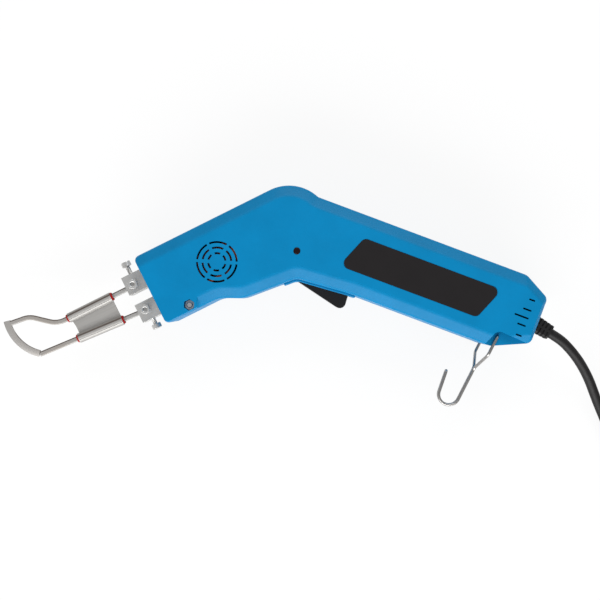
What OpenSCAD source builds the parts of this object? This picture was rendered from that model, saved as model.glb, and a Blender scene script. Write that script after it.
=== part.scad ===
// Electric hot knife with a bent pistol housing, a heated sled blade, a hanging hook and a mains cord.
// It lies on its right side: X runs from the blade to the cord, Y up the housing, Z out of the left face.
// The origin lies on the right face where the middle lines of the barrel and of the grip cross.

/* [Housing] */
// Thickness of the housing across both shells
body_w = 46; // [44:0.5:54]
// Wall of the shells
wall = 2.6; // [2:0.1:3]
// Height of the barrel
barrel_h = 43; // [42:0.5:50]
// Length of the barrel from the crossing to its front face
barrel_len = 85.2; // [83:0.2:95]
// Height of the grip
grip_h = 46; // [44:0.5:52]
// Length of the grip from the crossing to its rear face
grip_len = 159.3; // [155:0.1:175]
// Slope of the barrel
barrel_tilt = 26.5; // [20:0.5:32]
// Slope of the grip
grip_tilt = -20.5; // [-24:0.5:-16]
// Width of the rounded edge, seen from the side
edge_w = 5.5; // [3:0.1:6]
// Depth of the rounded edge, across the housing
edge_d = 5; // [3:0.1:6]

/* [Vents] */
// Distance of the round vent behind the crossing, along the barrel
vent_u = 42.6; // [40:0.1:45]
// Radii of the three rings of vent slots
vent_radii = [11.4, 8.25, 5];
// Width of a vent slot
vent_slot = 0.9; // [0.6:0.1:1.2]
// Width of a rear vent slot
rear_slot = 1; // [0.6:0.1:1.4]

/* [Label] */
// Length of the label plate as a share of the grip's length
label_share = 0.53; // [0.45:0.01:0.55]
// Height of the label plate
label_h = 19.7; // [16:0.1:22]
// Thickness of the label plate
label_t = 0.4; // [0.3:0.05:0.6]

/* [Trigger] */
// Length of the trigger from its pin
trigger_len = 31.1; // [30:0.1:32]
// Drop of the trigger's lower corner below its pin
trigger_drop = 15.3; // [13:0.1:17]
// Thickness of the trigger
trigger_w = 13; // [11:0.2:14]
// Diameter of the trigger pin
trigger_pin_d = 3; // [2.6:0.1:3.4]

/* [Transformer] */
// Length of the laminated core
core_len = 40; // [39:0.5:41]
// Thickness of the lamination stack as a share of the housing's
core_share = 0.348; // [0.3:0.002:0.36]
// Width of the middle leg of the core
core_leg = 9; // [8.6:0.1:9.4]
// Diameter of the outer winding's wire
wire_d = 1.4; // [1.2:0.05:1.4]
// Turns of the outer winding
wire_turns = 12; // [8:1:12]

/* [Terminals] */
// Length of a terminal block
terminal_len = 12.6; // [12:0.1:15]
// Height of a terminal block
terminal_h = 11.5; // [11:0.1:12]
// Thickness of a terminal block
terminal_t = 12; // [11:0.2:14]
// Distance between the middles of the terminal blocks
terminal_pitch = 18; // [17.8:0.1:19]
// Thickness of the front insulator
insulator_t = 1.2; // [0.8:0.1:2]

/* [Blade] */
// Width of the blade strip in the legs
leg_w = 3; // [2.6:0.1:3]
// Thickness of the blade strip
blade_t = 2; // [1.6:0.1:2]
// Radius of the cutting edge of the foot
foot_r = 28.6; // [27.5:0.1:29.5]
// Width of the foot strip
foot_w = 4; // [3.6:0.1:5]
// Length of the shield
shield_len = 28.5; // [22:0.5:32]
// Outer diameter of the shield's rolled tubes
shield_tube_d = 6.2; // [6:0.1:6.6]
// Wall of the shield
shield_wall = 0.6; // [0.5:0.05:0.7]

/* [Hook] */
// Diameter of the hook's wire
hook_wire = 1.8; // [1.4:0.1:2]
// Reach of the hook's straight shank from its pins
hook_reach = 43.3; // [38:0.1:50]
// Radius of the hook's bend
hook_r = 6.2; // [5:0.1:8]
// Length of the hook's return leg
hook_tip = 12; // [8:0.5:16]

/* [Cord] */
// Diameter of the mains cord
cord_d = 6; // [6:0.1:6.1]
// Turns of the coil in each of its two layers
coil_turns = 4; // [3:1:4]
// Length of the plug's body
plug_len = 38; // [30:0.5:46]

/* [Fasteners] */
// Diameter of the machine screws
screw_d = 2.9; // [2.6:0.1:3]
// Diameter of the screw heads
head_d = 5.4; // [5:0.1:5.6]
// Height of the screw heads
head_h = 3; // [2.4:0.1:3]
// Width across the flats of the nut
nut_af = 5.5; // [5.2:0.1:5.8]

/* [Hidden] */
$fn = 48;

// Clearances and overruns that all pieces share
over = 1;
fit = 0.05;
seat = 0.2;
play = 0.6;

mid = body_w / 2;
barrel_half = barrel_h / 2;
grip_half = grip_h / 2;

// Outline of the housing
nose_r = 3;
step_u = 38.7;
step_len = 12.3;
step_drop = 6.4;
step_r = 14;
elbow_u = 5.8;
elbow_drop = 9.8;
elbow_r = 8;
bend_s = 52;
bend_r = 60;
heel_cut = 21.3;
heel_r = 6;
rear_down = 13.4;
rear_up = 14.6;
rear_r = 4;
top_cut = 15.7;
kink_s = 14.3;
kink_fall = 40;
kink_r = 4;
hump_share = 0.92;
corner_steps = 5;
edge_steps = 4;
least_r = 0.4;

// Bosses and screws of the housing
boss_r = 4;
wall_bite = 0.3;
head_sink = 3;
head_play = 0.3;
screw_grip = 8;
barrel_screw_shares = [[0.85, 0.386], [-0.094, 0.27]];
grip_screw_shares = [[0.44, 0.35], [0.63, -0.35], [0.917, -0.217]];
bolt_in = 17.2;
bolt_u = barrel_len - bolt_in;
bolt_v = 17.5;
nut_h = 2.4;
nut_play = 0.3;
nut_sink = 6;
nut_seat = mid - nut_sink;
nut_boss_r = 4.6;
slot_w = 0.8;
slot_len = 3.6;
slot_deep = 1;

// Vents
vent_v = 2.5;
vent_count = 6;
vent_spans = [52, 46, 37];
rear_slot_in = 7.6;
rear_slot_t = [10, 3.9, -0.8, -5.4, -11.6];
rear_slot_len = [2.7, 4.2, 7.7, 4.3, 2.9];

// Label and indicator
label_s = 39.5;
label_len = label_share * grip_len;
label_lean = 8;
label_low = 10.2;
label_r = 3.5;
label_rise_share = 0.5;
lens_xy = [9, -15];
lens_r = 2;
lens_h = 4;
lens_proud = 0.3;
lamp_r = 1.7;
lamp_h = 9;
lens_wall = 1.6;

// Trigger, switch and their opening
trigger_tilt = -16.6;
pin_xy = [11, -26.5];
trigger_nose = 2;
trigger_chin = 5.2;
trigger_top = 2.5;
trigger_tip_r = 3.4;
trigger_edge_r = 0.8;
trigger_hub_r = 3.4;
slot_front = 4.6;
slot_back = 2.7;
slot_high = 1.4;
pin_boss_r = 3.5;
pin_grip = 4;
switch_x = 22;
switch_len = 28;
switch_h = 14.5;
switch_w = 14;
switch_low = 3.5;
plunger_r = 2;
plunger_tip = 2.2;
plunger_len = 10.5;
plunger_room = 4;
post_r = 2.2;
switch_post_share = 0.34;

// Transformer
axis_v = 0.7;
core_set = 0.4;
core_u = barrel_len / 2 + core_set;
core_stack = core_share * body_w;
core_gap = 1;
core_yoke = 5;
core_side = 4.6;
core_post_in = 2.6;
bobbin_wall = 1;
bobbin_side = 9.6;
bobbin_share = 0.322;
bobbin_face = bobbin_share * body_w;
inner_build = 2.3;
wire_gap = 0.5;
wire_lift = 0.15;
turn_r = 3;
turn_steps = 4;
wire_sides = 6;
bar_t = 1.8;
bar_w = 12;
bar_front = 5;
bar_top = 14;

// Terminals and clamp screws
tang_w = 9;
tang_h = 4.8;
tang_len = 15;
tang_out = 9.8;
insulator_rim = 1;
insulator_w = 17;
clamp_set = 7;
upper_edge_proud = 5.2;
lower_edge_proud = 3.5;
face_proud = 4;
clamp_tip = 0.2;
socket_af = 2.5;
socket_deep = 1.6;

// Blade, in lengths ahead of the terminals' front and above the barrel's middle line
leg_in = 10.8;
upper_leg_v = 8.7;
lower_leg_v = -7.4;
lower_leg_slope = 3.8;
jog_start = 47;
jog_len = 13.5;
jog_rise = 11.3;
toe_len = 12.5;
toe_rise = 1.5;
jog_r = 8;
foot_u = 47.7;
foot_v = 17.9;
foot_from = 12.5;
foot_sweep = 62.9;
foot_bevel = 1.8;
lower_leg_len = foot_u + (foot_r - foot_w / 2) * cos(foot_sweep - foot_from);
shield_start = 11;
shield_plate = 0.8;
shield_bow_r = 17;
shield_bow = 12;
sleeve_proud = 1;

// Hook, in lengths out from its pins
hook_in = 19.5;
hook_s = grip_len - hook_in;
hook_t = 16.1;
hook_rest = 243;
hook_fan_from = 232;
hook_fan_to = 336;
hook_fan_len = 24;
hook_pit = 4.7;
hook_pit_r = 2.6;
hook_fan_half = 3;
hook_pad_len = 12;
hook_pad_h = 11;
hook_pad_share = 0.7;
hook_pad_t = 4.4;
hook_pin_r = 1;
hook_pin_len = 7;
hook_leg = 12.5;
hook_join = 22.1;
hook_half = 1;
hook_turn = 172;
hook_bends = [1.2, 3, 4];
hook_sides = 10;
hook_steps = 4;
hook_arc_steps = 12;

// Strain relief and cord clamp, along the cord where it leaves the grip
relief_set = 0.89;
relief_low = 0.43;
relief_tilt = -31;
relief_out = 12;
relief_wide = 10.3;
relief_taper_share = 0.85;
relief_r = 2;
relief_neck_r = 5;
relief_neck = 7;
relief_flange_r = 7;
relief_flange = 2.6;
relief_rows = 4;
relief_notch = 1;
relief_notch_deep = 1.2;
relief_web = 1.4;
clamp_x = 22;
clamp_len = 7;
clamp_t = 3;
clamp_span = 16;
clamp_end = 3.4;
cord_in = 30;
saddle_r = 3.4;

// Cord: points of the free stretches, chosen by hand, and the coil's place
cord_r = cord_d / 2;
cord_sides = 10;
cord_steps = 2;
joint_gap = 0.5;
lead_steps = [[0, 0], [10.3, -6.2], [18.1, -11.3], [24.1, -16.9], [29.6, -23.1], [34.6, -29.9], [38.7, -36.9],
    [42.1, -44.1], [45.5, -51.5], [49.1, -59.5], [52.5, -67.9], [55.3, -76.5], [56.7, -83.5], [57.1, -89.5]];
lead_high_shares = [1, 1, 0.9465, 0.84, 0.679, 0.492, 0.332, 0.198, 0.091, 0.027, 0, 0, 0, 0];
tail_x = 156.1;
tail_y = [-89.5, -82.5, -73.5, -64.5, -54.5, -44.5, -33.5, -27.5];
tail_high_shares = [1, 1, 1, 0.871, 0.452, 0.129, 0, 0];
coil_rings = 24;
coil_sides = 6;
coil_gap = 0.8;
tie_t = 1;
tie_w = 5;
tie_gap = 0.3;
tie_turn = 90;
plug_w = 25;
plug_h = 16;
plug_r = 5;
plug_nose_w = 12;
plug_grip = 8;
plug_neck = 4;
pin_w = 6.4;
pin_t = 1.6;
pin_len = 17;
pin_root = 6;
pin_spread = 7;
pin_lean = 30;
pin_back = 4;

body_blue = "#0786bb";
black = "#1d1c1d";
steel = "#bcbcbc";
copper = "#c07a45";

// Points in the frames of the barrel, the grip, the trigger and the strain relief
function turned(p, a) = [p[0] * cos(a) - p[1] * sin(a), p[0] * sin(a) + p[1] * cos(a)];
function barrel_pt(u, v) = turned([-u, v], barrel_tilt);
function grip_pt(s, t) = turned([s, t], grip_tilt);
relief_xy = grip_pt(grip_len + relief_set, -relief_low);
function trigger_pt(x, y) = pin_xy + turned([x, y], trigger_tilt);
function relief_pt(x, y) = relief_xy + turned([x, y], relief_tilt);

module at_barrel(u, v) translate(barrel_pt(u, v)) rotate(barrel_tilt) children();
module at_grip(s, t) translate(grip_pt(s, t)) rotate(grip_tilt) children();
module at_trigger(x, y) translate(trigger_pt(x, y)) rotate(trigger_tilt) children();
module at_relief(x, y) translate(relief_pt(x, y)) rotate(relief_tilt) children();
module up(z) translate([0, 0, z]) children();

// Round corners, in the plane or in space
function backwards(p) = [for (i = [len(p) - 1:-1:0]) p[i]];
function unit(p) = p / norm(p);
function bend(a, b, c, r, n) =
    let (e = unit(b - a), f = unit(c - b), w = acos(e * f), g = unit(f - e * (e * f)))
    let (h = b - e * r * tan(w / 2))
    [for (k = [0:n]) h + e * r * sin(w * k / n) + g * r * (1 - cos(w * k / n))];
function at_loop(p, i) = p[(i + len(p)) % len(p)];
function bent_loop(p, r, n) =
    [for (i = [0:len(p) - 1]) each bend(at_loop(p, i - 1), p[i], at_loop(p, i + 1), r[i], n)];
function bent_path(p, r, n) = concat([p[0]],
    [for (i = [1:len(p) - 2]) each bend(p[i - 1], p[i], p[i + 1], r[i - 1], n)], [p[len(p) - 1]]);
function round_box(w, h, r) =
    bent_loop([[w, h], [-w, h], [-w, -h], [w, -h]] / 2, [r, r, r, r], corner_steps);

// Closed solid through rings of equal count, each ring anticlockwise about the way they follow.
// A lid lists the faces that close its ends; without one, each end is a single face.
module skin(rings, lid = []) {
    n = len(rings[0]);
    last = len(rings) - 1;
    ends = len(lid) > 0 ? lid : [[for (j = [0:n - 1]) j]];
    sides = [for (i = [0:last - 1], j = [0:n - 1]) let (k = (j + 1) % n, a = i * n, b = a + n)
        each [[a + j, b + j, b + k], [a + j, b + k, a + k]]];
    caps = concat(ends, [for (f = ends) [for (i = backwards(f)) last * n + i]]);
    polyhedron([for (r = rings) each r], concat(caps, sides), convexity = 10);
}

// Round tube along a path in space; its rings are carried along without twist
function level(p, z) = [for (q = p) [q[0], q[1], z]];
function way(p, i) = unit(p[min(i + 1, len(p) - 1)] - p[max(i - 1, 0)]);
function square_to(n, t) = unit(n - t * (n * t));
function carried(p, n, i = 0) = i == len(p) ? [] :
    let (m = square_to(n, way(p, i))) concat([m], carried(p, m, i + 1));
function tube_rings(p, r, n, ref) = let (side = carried(p, ref))
    [for (i = [0:len(p) - 1]) let (a = side[i], b = cross(way(p, i), a))
        [for (k = [0:n - 1]) p[i] + r * (a * cos(360 * k / n) + b * sin(360 * k / n))]];
module tube(p, r, n, ref = [0, 0, 1]) skin(tube_rings(p, r, n, ref));

// Smooth path through hand-chosen points
function blend(a, b, c, d, x) = b + x * ((c - a) / 2 + x * ((2 * a - 5 * b + 4 * c - d) / 2
    + x * (3 * b - a - 3 * c + d) / 2));
function smooth(p, n) = let (m = len(p) - 1) concat([for (i = [0:m - 1], k = [0:n - 1])
    blend(p[max(i - 1, 0)], p[i], p[i + 1], p[min(i + 2, m)], k / n)], [p[m]]);

// Flat strip of even width along a path in the plane
function strip(p, w) = let (side = [for (i = [0:len(p) - 1]) turned(way(p, i), 90) * w / 2])
    concat(p + side, [for (i = [len(p) - 1:-1:0]) p[i] - side[i]]);

// Outline of the housing, moved inwards by d
function meet(p, a, q, b) = let (e = [cos(a), sin(a)], f = [cos(b), sin(b)])
    p + e * cross(q - p, f) / cross(e, f);
kink = grip_pt(kink_s, grip_half);
hump = meet(barrel_pt(barrel_len, barrel_half), barrel_tilt, kink, -kink_fall);
hump_r = hump_share * norm(hump - kink) / tan((barrel_tilt + kink_fall) / 2);
corners = [barrel_pt(barrel_len, barrel_half), barrel_pt(barrel_len, -barrel_half),
    barrel_pt(step_u + step_len, -barrel_half), barrel_pt(step_u, -barrel_half - step_drop),
    barrel_pt(elbow_u, -barrel_half - elbow_drop), grip_pt(bend_s, -grip_half),
    grip_pt(grip_len - heel_cut, -grip_half), grip_pt(grip_len, -rear_down), grip_pt(grip_len, rear_up),
    grip_pt(grip_len - top_cut, grip_half), kink, hump];
corner_r = [nose_r, nose_r, step_r, step_r, elbow_r, bend_r,
    heel_r, rear_r, rear_r, heel_r, kink_r, hump_r];
function inset(a, b, c, d) = let (n = turned(unit(b - a), 90), m = turned(unit(c - b), 90))
    b + d * (n + m) / (1 + n * m);
function inset_r(a, b, c, r, d) = cross(b - a, c - b) > 0 ? max(r - d, least_r) : r + d;
function housing_ring(d) =
    let (p = [for (i = [0:len(corners) - 1])
        inset(at_loop(corners, i - 1), corners[i], at_loop(corners, i + 1), d)])
    let (r = [for (i = [0:len(corners) - 1])
        inset_r(at_loop(corners, i - 1), corners[i], at_loop(corners, i + 1), corner_r[i], d)])
    bent_loop(p, r, corner_steps);
// Triangles across a long bent ring, between its side that starts at i and its side that ends at j
function ladder(p, i, j) = let (n = len(p), b = (i + 1) % n, c = (j + n - 1) % n)
    b == c ? [[i, b, j]] : norm(p[b] - p[j]) < norm(p[i] - p[c])
        ? concat([[i, b, j]], ladder(p, b, j)) : concat([[c, j, i]], ladder(p, i, c));
housing_lid = ladder(housing_ring(edge_w), corner_steps + 1, corner_steps);
edge_angles = [for (k = [0:edge_steps]) 90 * k / edge_steps];
function half_rings(d) = concat([level(housing_ring(d), 0)],
    [for (a = edge_angles)
        level(housing_ring(d + edge_w * (1 - cos(a))), mid - edge_d - d + edge_d * sin(a))]);

screw_places = concat([for (p = barrel_screw_shares) barrel_pt(p[0] * barrel_len, p[1] * barrel_h)],
    [for (p = grip_screw_shares) grip_pt(p[0] * grip_len, p[1] * grip_h)]);
core_h = 2 * (barrel_half - wall - core_gap - axis_v);
core_post = [core_len / 2 - core_post_in, core_h / 2 - core_post_in];
switch_mid = switch_low + switch_h / 2;
trigger_half = trigger_w / 2;
slot_half = trigger_half + play;
hook_xy = grip_pt(hook_s, -hook_t);
coil_step = cord_d + coil_gap;
coil_low = cord_r + tie_gap + tie_t;
coil_high = coil_low + coil_step;
lead_route = [for (i = [0:len(lead_steps) - 1])
    concat(relief_xy + lead_steps[i], coil_low + (mid - coil_low) * lead_high_shares[i])];
tail_route = [for (i = [0:len(tail_y) - 1])
    concat(relief_xy + [tail_x, tail_y[i]], plug_h / 2 + (coil_high - plug_h / 2) * tail_high_shares[i])];
hook_level = mid - hook_pit + hook_wire / 2 + seat;
terminal_u = barrel_len + insulator_t;
front_u = terminal_u + terminal_len;
clamp_u = terminal_u + clamp_set;
label_plan = [[0, 0], [label_len, 0], [label_len + label_lean, label_h], [label_lean, label_h]];
label_corners = [for (p = label_plan) grip_pt(label_s + p[0], p[1] - label_low)];
label_turns = [label_r, label_r, label_r, label_r];

module round_slot(len, w, h) {
    translate([0, -w / 2, 0]) cube([len, w, h]);
    for (x = [0, len]) translate([x, 0, 0]) cylinder(d = w, h = h);
}

module arc_slot(r, w, span, h) rotate(-span / 2) rotate_extrude(angle = span)
    translate([r - w / 2, 0]) square([w, h]);

// Cap screw along +Z: the head's seat lies at z = 0 and the shank runs down from it
module cap_screw(shank, d = screw_d) difference() {
    union() {
        cylinder(d = head_d, h = head_h);
        up(-shank) cylinder(d = d, h = shank + over);
    }
    up(head_h - socket_deep) cylinder(d = socket_af / cos(30), h = socket_deep + over, $fn = 6);
}

// Sector between two directions, its straight sides moved outwards by w
module fan(from, to, r, w) {
    a = turned([w, 0], from - 90);
    b = turned([w, 0], to + 90);
    polygon([a, a + turned([r, 0], from), turned([r, 0], (from + to) / 2), b + turned([r, 0], to), b]);
}

// What both shells share, drawn outwards from the parting plane: inner face, rim and outer face of the wall
module half_wall() skin(concat(backwards(half_rings(wall)), half_rings(0)), housing_lid);

// Posts from the parting plane or from what they hold, up into the face's wall
module post(r, base = 0) up(base) cylinder(r = r, h = mid - wall + wall_bite - base);

heel = inset(corners[5], corners[6], corners[7], wall / 2);
heel_end = heel + hook_pad_share * (inset(corners[6], corners[7], corners[8], wall / 2) - heel);
module hook_pad() up(mid - hook_pit - hook_pad_t) linear_extrude(hook_pit + hook_pad_t - wall + wall_bite)
    polygon([heel - grip_pt(hook_pad_len, 0), heel, heel_end, heel_end + grip_pt(0, hook_pad_h),
        heel + grip_pt(-hook_pad_len, hook_pad_h)]);

module half_posts() {
    for (p = screw_places) translate(p) post(boss_r);
    intersection() {
        at_barrel(bolt_u, -bolt_v) post(nut_boss_r);
        at_barrel(barrel_len, -barrel_half + wall / 2) cube(barrel_len);
    }
    for (x = [-1, 1], y = [-1, 1]) at_barrel(core_u + x * core_post[0], axis_v + y * core_post[1])
        post(post_r, core_stack / 2 + seat);
    for (x = [-1, 1]) at_trigger(switch_x + x * switch_len * switch_post_share, switch_mid)
        post(post_r, switch_w / 2 + seat);
    translate(pin_xy) post(pin_boss_r, slot_half + seat);
    hook_pad();
}

module half_cuts() {
    at_trigger(-slot_front, -trigger_drop) up(-over)
        cube([slot_front + trigger_len + slot_back, trigger_drop - slot_high, slot_half + over]);
    translate(pin_xy) up(-over)
        cylinder(d = trigger_pin_d + 2 * fit, h = over + slot_half + pin_grip + seat);
    at_barrel(vent_u, -vent_v) for (i = [0:len(vent_radii) - 1], k = [0:vent_count - 1])
        rotate(k * 360 / vent_count) up(mid - wall - over)
            arc_slot(vent_radii[i], vent_slot, vent_spans[i], wall + 2 * over);
    for (i = [0:len(rear_slot_t) - 1]) at_grip(grip_len - rear_slot_in - rear_slot_len[i], rear_slot_t[i])
        up(mid - wall - over) round_slot(rear_slot_len[i], rear_slot, wall + 2 * over);
    at_relief(0, 0) rotate([0, 90, 0]) up(-relief_neck - over)
        cylinder(r = relief_neck_r + fit, h = relief_neck + 2 * over + wall);
    translate(hook_xy) {
        up(mid - hook_pit) {
            linear_extrude(body_w) fan(hook_fan_from, hook_fan_to, hook_fan_len, hook_fan_half);
            cylinder(r = hook_pit_r, h = body_w);
        }
        up(mid - hook_pit - hook_pad_t - over) cylinder(r = hook_pin_r + fit, h = body_w);
    }
    for (y = [-1, 1]) at_barrel(barrel_len, axis_v + y * (tang_out - tang_h / 2)) up(-over)
        translate([-over, -tang_h / 2 - seat, 0])
            cube([wall + 2 * over, tang_h + 2 * seat, tang_w / 2 + seat + over]);
}

module half_shell() difference() {
    union() {
        half_wall();
        half_posts();
        children();
    }
    half_cuts();
}

module left_shell() color(body_blue) up(mid) difference() {
    half_shell() translate(lens_xy) post(lens_r + lens_wall, mid - lens_h - lamp_h);
    for (p = screw_places) translate(p) up(-over)
        cylinder(d = screw_d + 2 * fit, h = screw_grip + over + seat);
    at_barrel(bolt_u, -bolt_v) {
        up(-over) cylinder(d = screw_d + 2 * fit, h = body_w);
        up(nut_seat) cylinder(d = (nut_af + nut_play) / cos(30), h = body_w, $fn = 6);
    }
    translate(lens_xy) up(mid - lens_h - lamp_h - over) cylinder(r = lens_r + fit, h = body_w);
    up(mid - label_t * label_rise_share) linear_extrude(body_w)
        polygon(bent_loop([for (i = [0:3]) inset(at_loop(label_corners, i - 1), label_corners[i],
            at_loop(label_corners, i + 1), -seat)], label_turns, corner_steps));
}

module right_shell() color(body_blue) up(mid) mirror([0, 0, 1]) difference() {
    half_shell() at_relief(-clamp_x, 0) for (y = [-1, 1]) translate([0, y * clamp_span / 2, 0])
        post(saddle_r);
    for (p = concat(screw_places, [barrel_pt(bolt_u, -bolt_v)])) translate(p) {
        up(-over) cylinder(d = screw_d + 2 * head_play, h = body_w);
        up(mid - head_sink) cylinder(d = head_d + 2 * head_play, h = body_w);
    }
    at_relief(-clamp_x, 0) for (y = [-1, 1]) translate([0, y * clamp_span / 2, 0])
        up(-over) cylinder(d = screw_d + 2 * fit, h = over + screw_grip + seat);
}

// Thin plate that keeps the live blocks off the housing
module front_insulator() color("#a8865c") at_barrel(barrel_len, axis_v) up(mid) {
    tall = terminal_pitch + terminal_h + 2 * insulator_rim;
    difference() {
        translate([-insulator_t, -tall / 2, -insulator_w / 2]) cube([insulator_t, tall, insulator_w]);
        for (y = [-1, 1]) translate([-insulator_t / 2, y * (tang_out - tang_h / 2), 0])
            cube([insulator_t + 2 * over, tang_h + 2 * seat, tang_w + 2 * seat], center = true);
    }
}

module label_plate() color(black) up(body_w - label_t * label_rise_share)
    linear_extrude(label_t) polygon(bent_loop(label_corners, label_turns, corner_steps));

module indicator_lens() color("#3a0a0a") translate(lens_xy) up(body_w - lens_h)
    cylinder(r = lens_r, h = lens_h + lens_proud);

module indicator_lamp() color("#e8b090") translate(lens_xy) up(body_w - lens_h - seat - lamp_h)
    cylinder(r = lamp_r, h = lamp_h);

screw_shank = mid + screw_grip - head_sink;
module housing_screws() color(steel) for (p = screw_places) translate(p) up(head_sink) rotate([180, 0, 0])
    difference() {
        union() {
            cylinder(d = head_d, h = head_h - head_play);
            up(-screw_shank) cylinder(d = screw_d, h = screw_shank + over);
        }
        for (a = [0, 90]) rotate(a) up(head_h - head_play - slot_deep)
            translate([-slot_len / 2, -slot_w / 2, 0]) cube([slot_len, slot_w, head_h]);
    }

bolt_shank = mid + nut_seat + nut_h + over - head_sink;
module through_bolt() color(steel) at_barrel(bolt_u, -bolt_v) up(head_sink) rotate([180, 0, 0])
    difference() {
        union() {
            cylinder(d = head_d, h = head_h - head_play);
            up(-bolt_shank) cylinder(d = screw_d, h = bolt_shank + over);
        }
        up(head_h - head_play - slot_deep) translate([-head_d, -slot_w / 2, 0])
            cube([2 * head_d, slot_w, head_h]);
    }

module through_nut() color(steel) at_barrel(bolt_u, -bolt_v) up(mid + nut_seat) difference() {
    cylinder(d = nut_af / cos(30), h = nut_h, $fn = 6);
    up(-over) cylinder(d = screw_d + 2 * fit, h = nut_h + 2 * over);
}

// Shell-type core: a frame with a middle leg along the barrel
module transformer_core() color("#6b6a66") at_barrel(core_u, axis_v) up(mid) {
    window_h = core_h / 2 - core_side - core_leg / 2;
    window_len = core_len - 2 * core_yoke;
    difference() {
        cube([core_len, core_h, core_stack], center = true);
        for (y = [-1, 1]) translate([0, y * (core_leg + window_h) / 2, 0])
            cube([window_len, window_h, core_stack + 2 * over], center = true);
    }
}

bobbin_len = core_len - 2 * core_yoke - 2 * seat;
bobbin_y = core_leg / 2 + seat;
bobbin_z = core_stack / 2 + seat;
module transformer_bobbin() color("#e6e0d0") at_barrel(core_u, axis_v) up(mid) difference() {
    union() {
        cube([bobbin_len, 2 * (bobbin_y + bobbin_wall), 2 * (bobbin_z + bobbin_wall)], center = true);
        for (x = [-1, 1]) translate([x * (bobbin_len - bobbin_wall) / 2, 0, 0])
            cube([bobbin_wall, 2 * bobbin_side, 2 * bobbin_face], center = true);
    }
    cube([core_len, 2 * bobbin_y, 2 * bobbin_z], center = true);
}

wind_len = bobbin_len - 2 * bobbin_wall - 2 * seat;
wind_y = bobbin_y + bobbin_wall + seat + inner_build;
wind_z = bobbin_z + bobbin_wall + seat + inner_build;
module inner_winding() color("#b0743f") at_barrel(core_u, axis_v) up(mid) rotate([0, 90, 0]) difference() {
    up(-wind_len / 2) linear_extrude(wind_len)
        polygon(round_box(2 * wind_z, 2 * wind_y, turn_r - wire_d / 2 - wire_lift));
    cube([2 * (wind_z - inner_build), 2 * (wind_y - inner_build), body_w], center = true);
}

// Outer layer of the winding: one wire in rounded turns, with a point in the middle of each side
turn_y = wind_y + wire_lift + wire_d / 2;
turn_z = wind_z + wire_lift + wire_d / 2;
turn_corners = bent_loop([[turn_y, turn_z], [-turn_y, turn_z], [-turn_y, -turn_z], [turn_y, -turn_z]],
    [turn_r, turn_r, turn_r, turn_r], turn_steps);
turn_pts = [for (i = [0:len(turn_corners) - 1]) each (i % (turn_steps + 1) == turn_steps
    ? [turn_corners[i], (turn_corners[i] + at_loop(turn_corners, i + 1)) / 2] : [turn_corners[i]])];
wire_pitch = wire_d + wire_gap;
wire_path = [for (k = [0:wire_turns * len(turn_pts)]) let (p = at_loop(turn_pts, k))
    [(k / len(turn_pts) - wire_turns / 2) * wire_pitch, p[0], p[1]]];
module outer_winding() color(copper) at_barrel(core_u, axis_v) up(mid)
    tube(wire_path, wire_d / 2, wire_sides, [1, 0, 0]);

// Single heavy turn through both windows: it closes below the core, and its ends run forward to the tangs
bar_in = tang_out + 2 * fit;
bar_deep = bobbin_face + 2 * seat + bar_t;
bar_rise = core_stack / 2 + 2 * seat;
bar_reach = barrel_len - wall - bar_front - core_u;
bar_drop = bar_reach - core_len / 2 - over;
module secondary_loop() color(copper) at_barrel(core_u, axis_v) up(mid) {
    for (y = [-1, 1]) translate([0, y * (bar_in + bar_t / 2) - bar_t / 2, 0]) {
        translate([-bar_w / 2, 0, -bar_deep]) cube([bar_w, bar_t, bar_deep + bar_top]);
        translate([-bar_reach, 0, bar_rise]) cube([bar_reach, bar_t, bar_top - bar_rise]);
        translate([-bar_reach, 0, -tang_w / 2]) cube([bar_drop, bar_t, tang_w / 2 + bar_top]);
    }
    translate([-bar_w / 2, -bar_in - bar_t, -bar_deep]) cube([bar_w, 2 * (bar_in + bar_t), bar_t]);
}

// Places of the legs at the clamp screws
function lower_leg_at(u) = lower_leg_v + (u - front_u) * tan(lower_leg_slope);
function leg_v(side) = side > 0 ? upper_leg_v : lower_leg_at(clamp_u);
module along_leg(side) at_barrel(front_u, side > 0 ? upper_leg_v : lower_leg_v)
    up(mid) rotate(side > 0 ? 180 : 180 - lower_leg_slope) children();

module terminal(side) color(steel) difference() {
    at_barrel(terminal_u, axis_v) up(mid) {
        translate([-terminal_len, side * terminal_pitch / 2 - terminal_h / 2, -terminal_t / 2])
            cube([terminal_len, terminal_h, terminal_t]);
        translate([-over, side * (tang_out - tang_h / 2) - tang_h / 2, -tang_w / 2])
            cube([tang_len + over, tang_h, tang_w]);
    }
    along_leg(side) translate([-leg_in - clamp_tip, -leg_w / 2 - seat / 2, -blade_t / 2 - seat / 2])
        cube([leg_in + clamp_tip + over, leg_w + seat, blade_t + seat]);
    at_barrel(clamp_u, leg_v(side)) up(mid) {
        cylinder(d = screw_d + 2 * fit, h = terminal_t);
        rotate([-side * 90, 0, 0]) cylinder(d = screw_d + 2 * fit, h = terminal_h);
    }
}
module terminal_upper() terminal(1);
module terminal_lower() terminal(-1);

module edge_clamp_screws() color(steel) for (side = [1, -1]) {
    proud = side > 0 ? upper_edge_proud : lower_edge_proud;
    seat_v = axis_v + side * (terminal_pitch + terminal_h) / 2 + side * proud;
    at_barrel(clamp_u, seat_v) up(mid) rotate([-side * 90, 0, 0])
        cap_screw(abs(seat_v - leg_v(side)) - leg_w / 2 - clamp_tip);
}

module face_clamp_screws() color(steel) for (side = [1, -1])
    at_barrel(clamp_u, leg_v(side)) up(mid + terminal_t / 2 + face_proud)
        cap_screw(terminal_t / 2 + face_proud - blade_t / 2 - clamp_tip);

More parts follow.
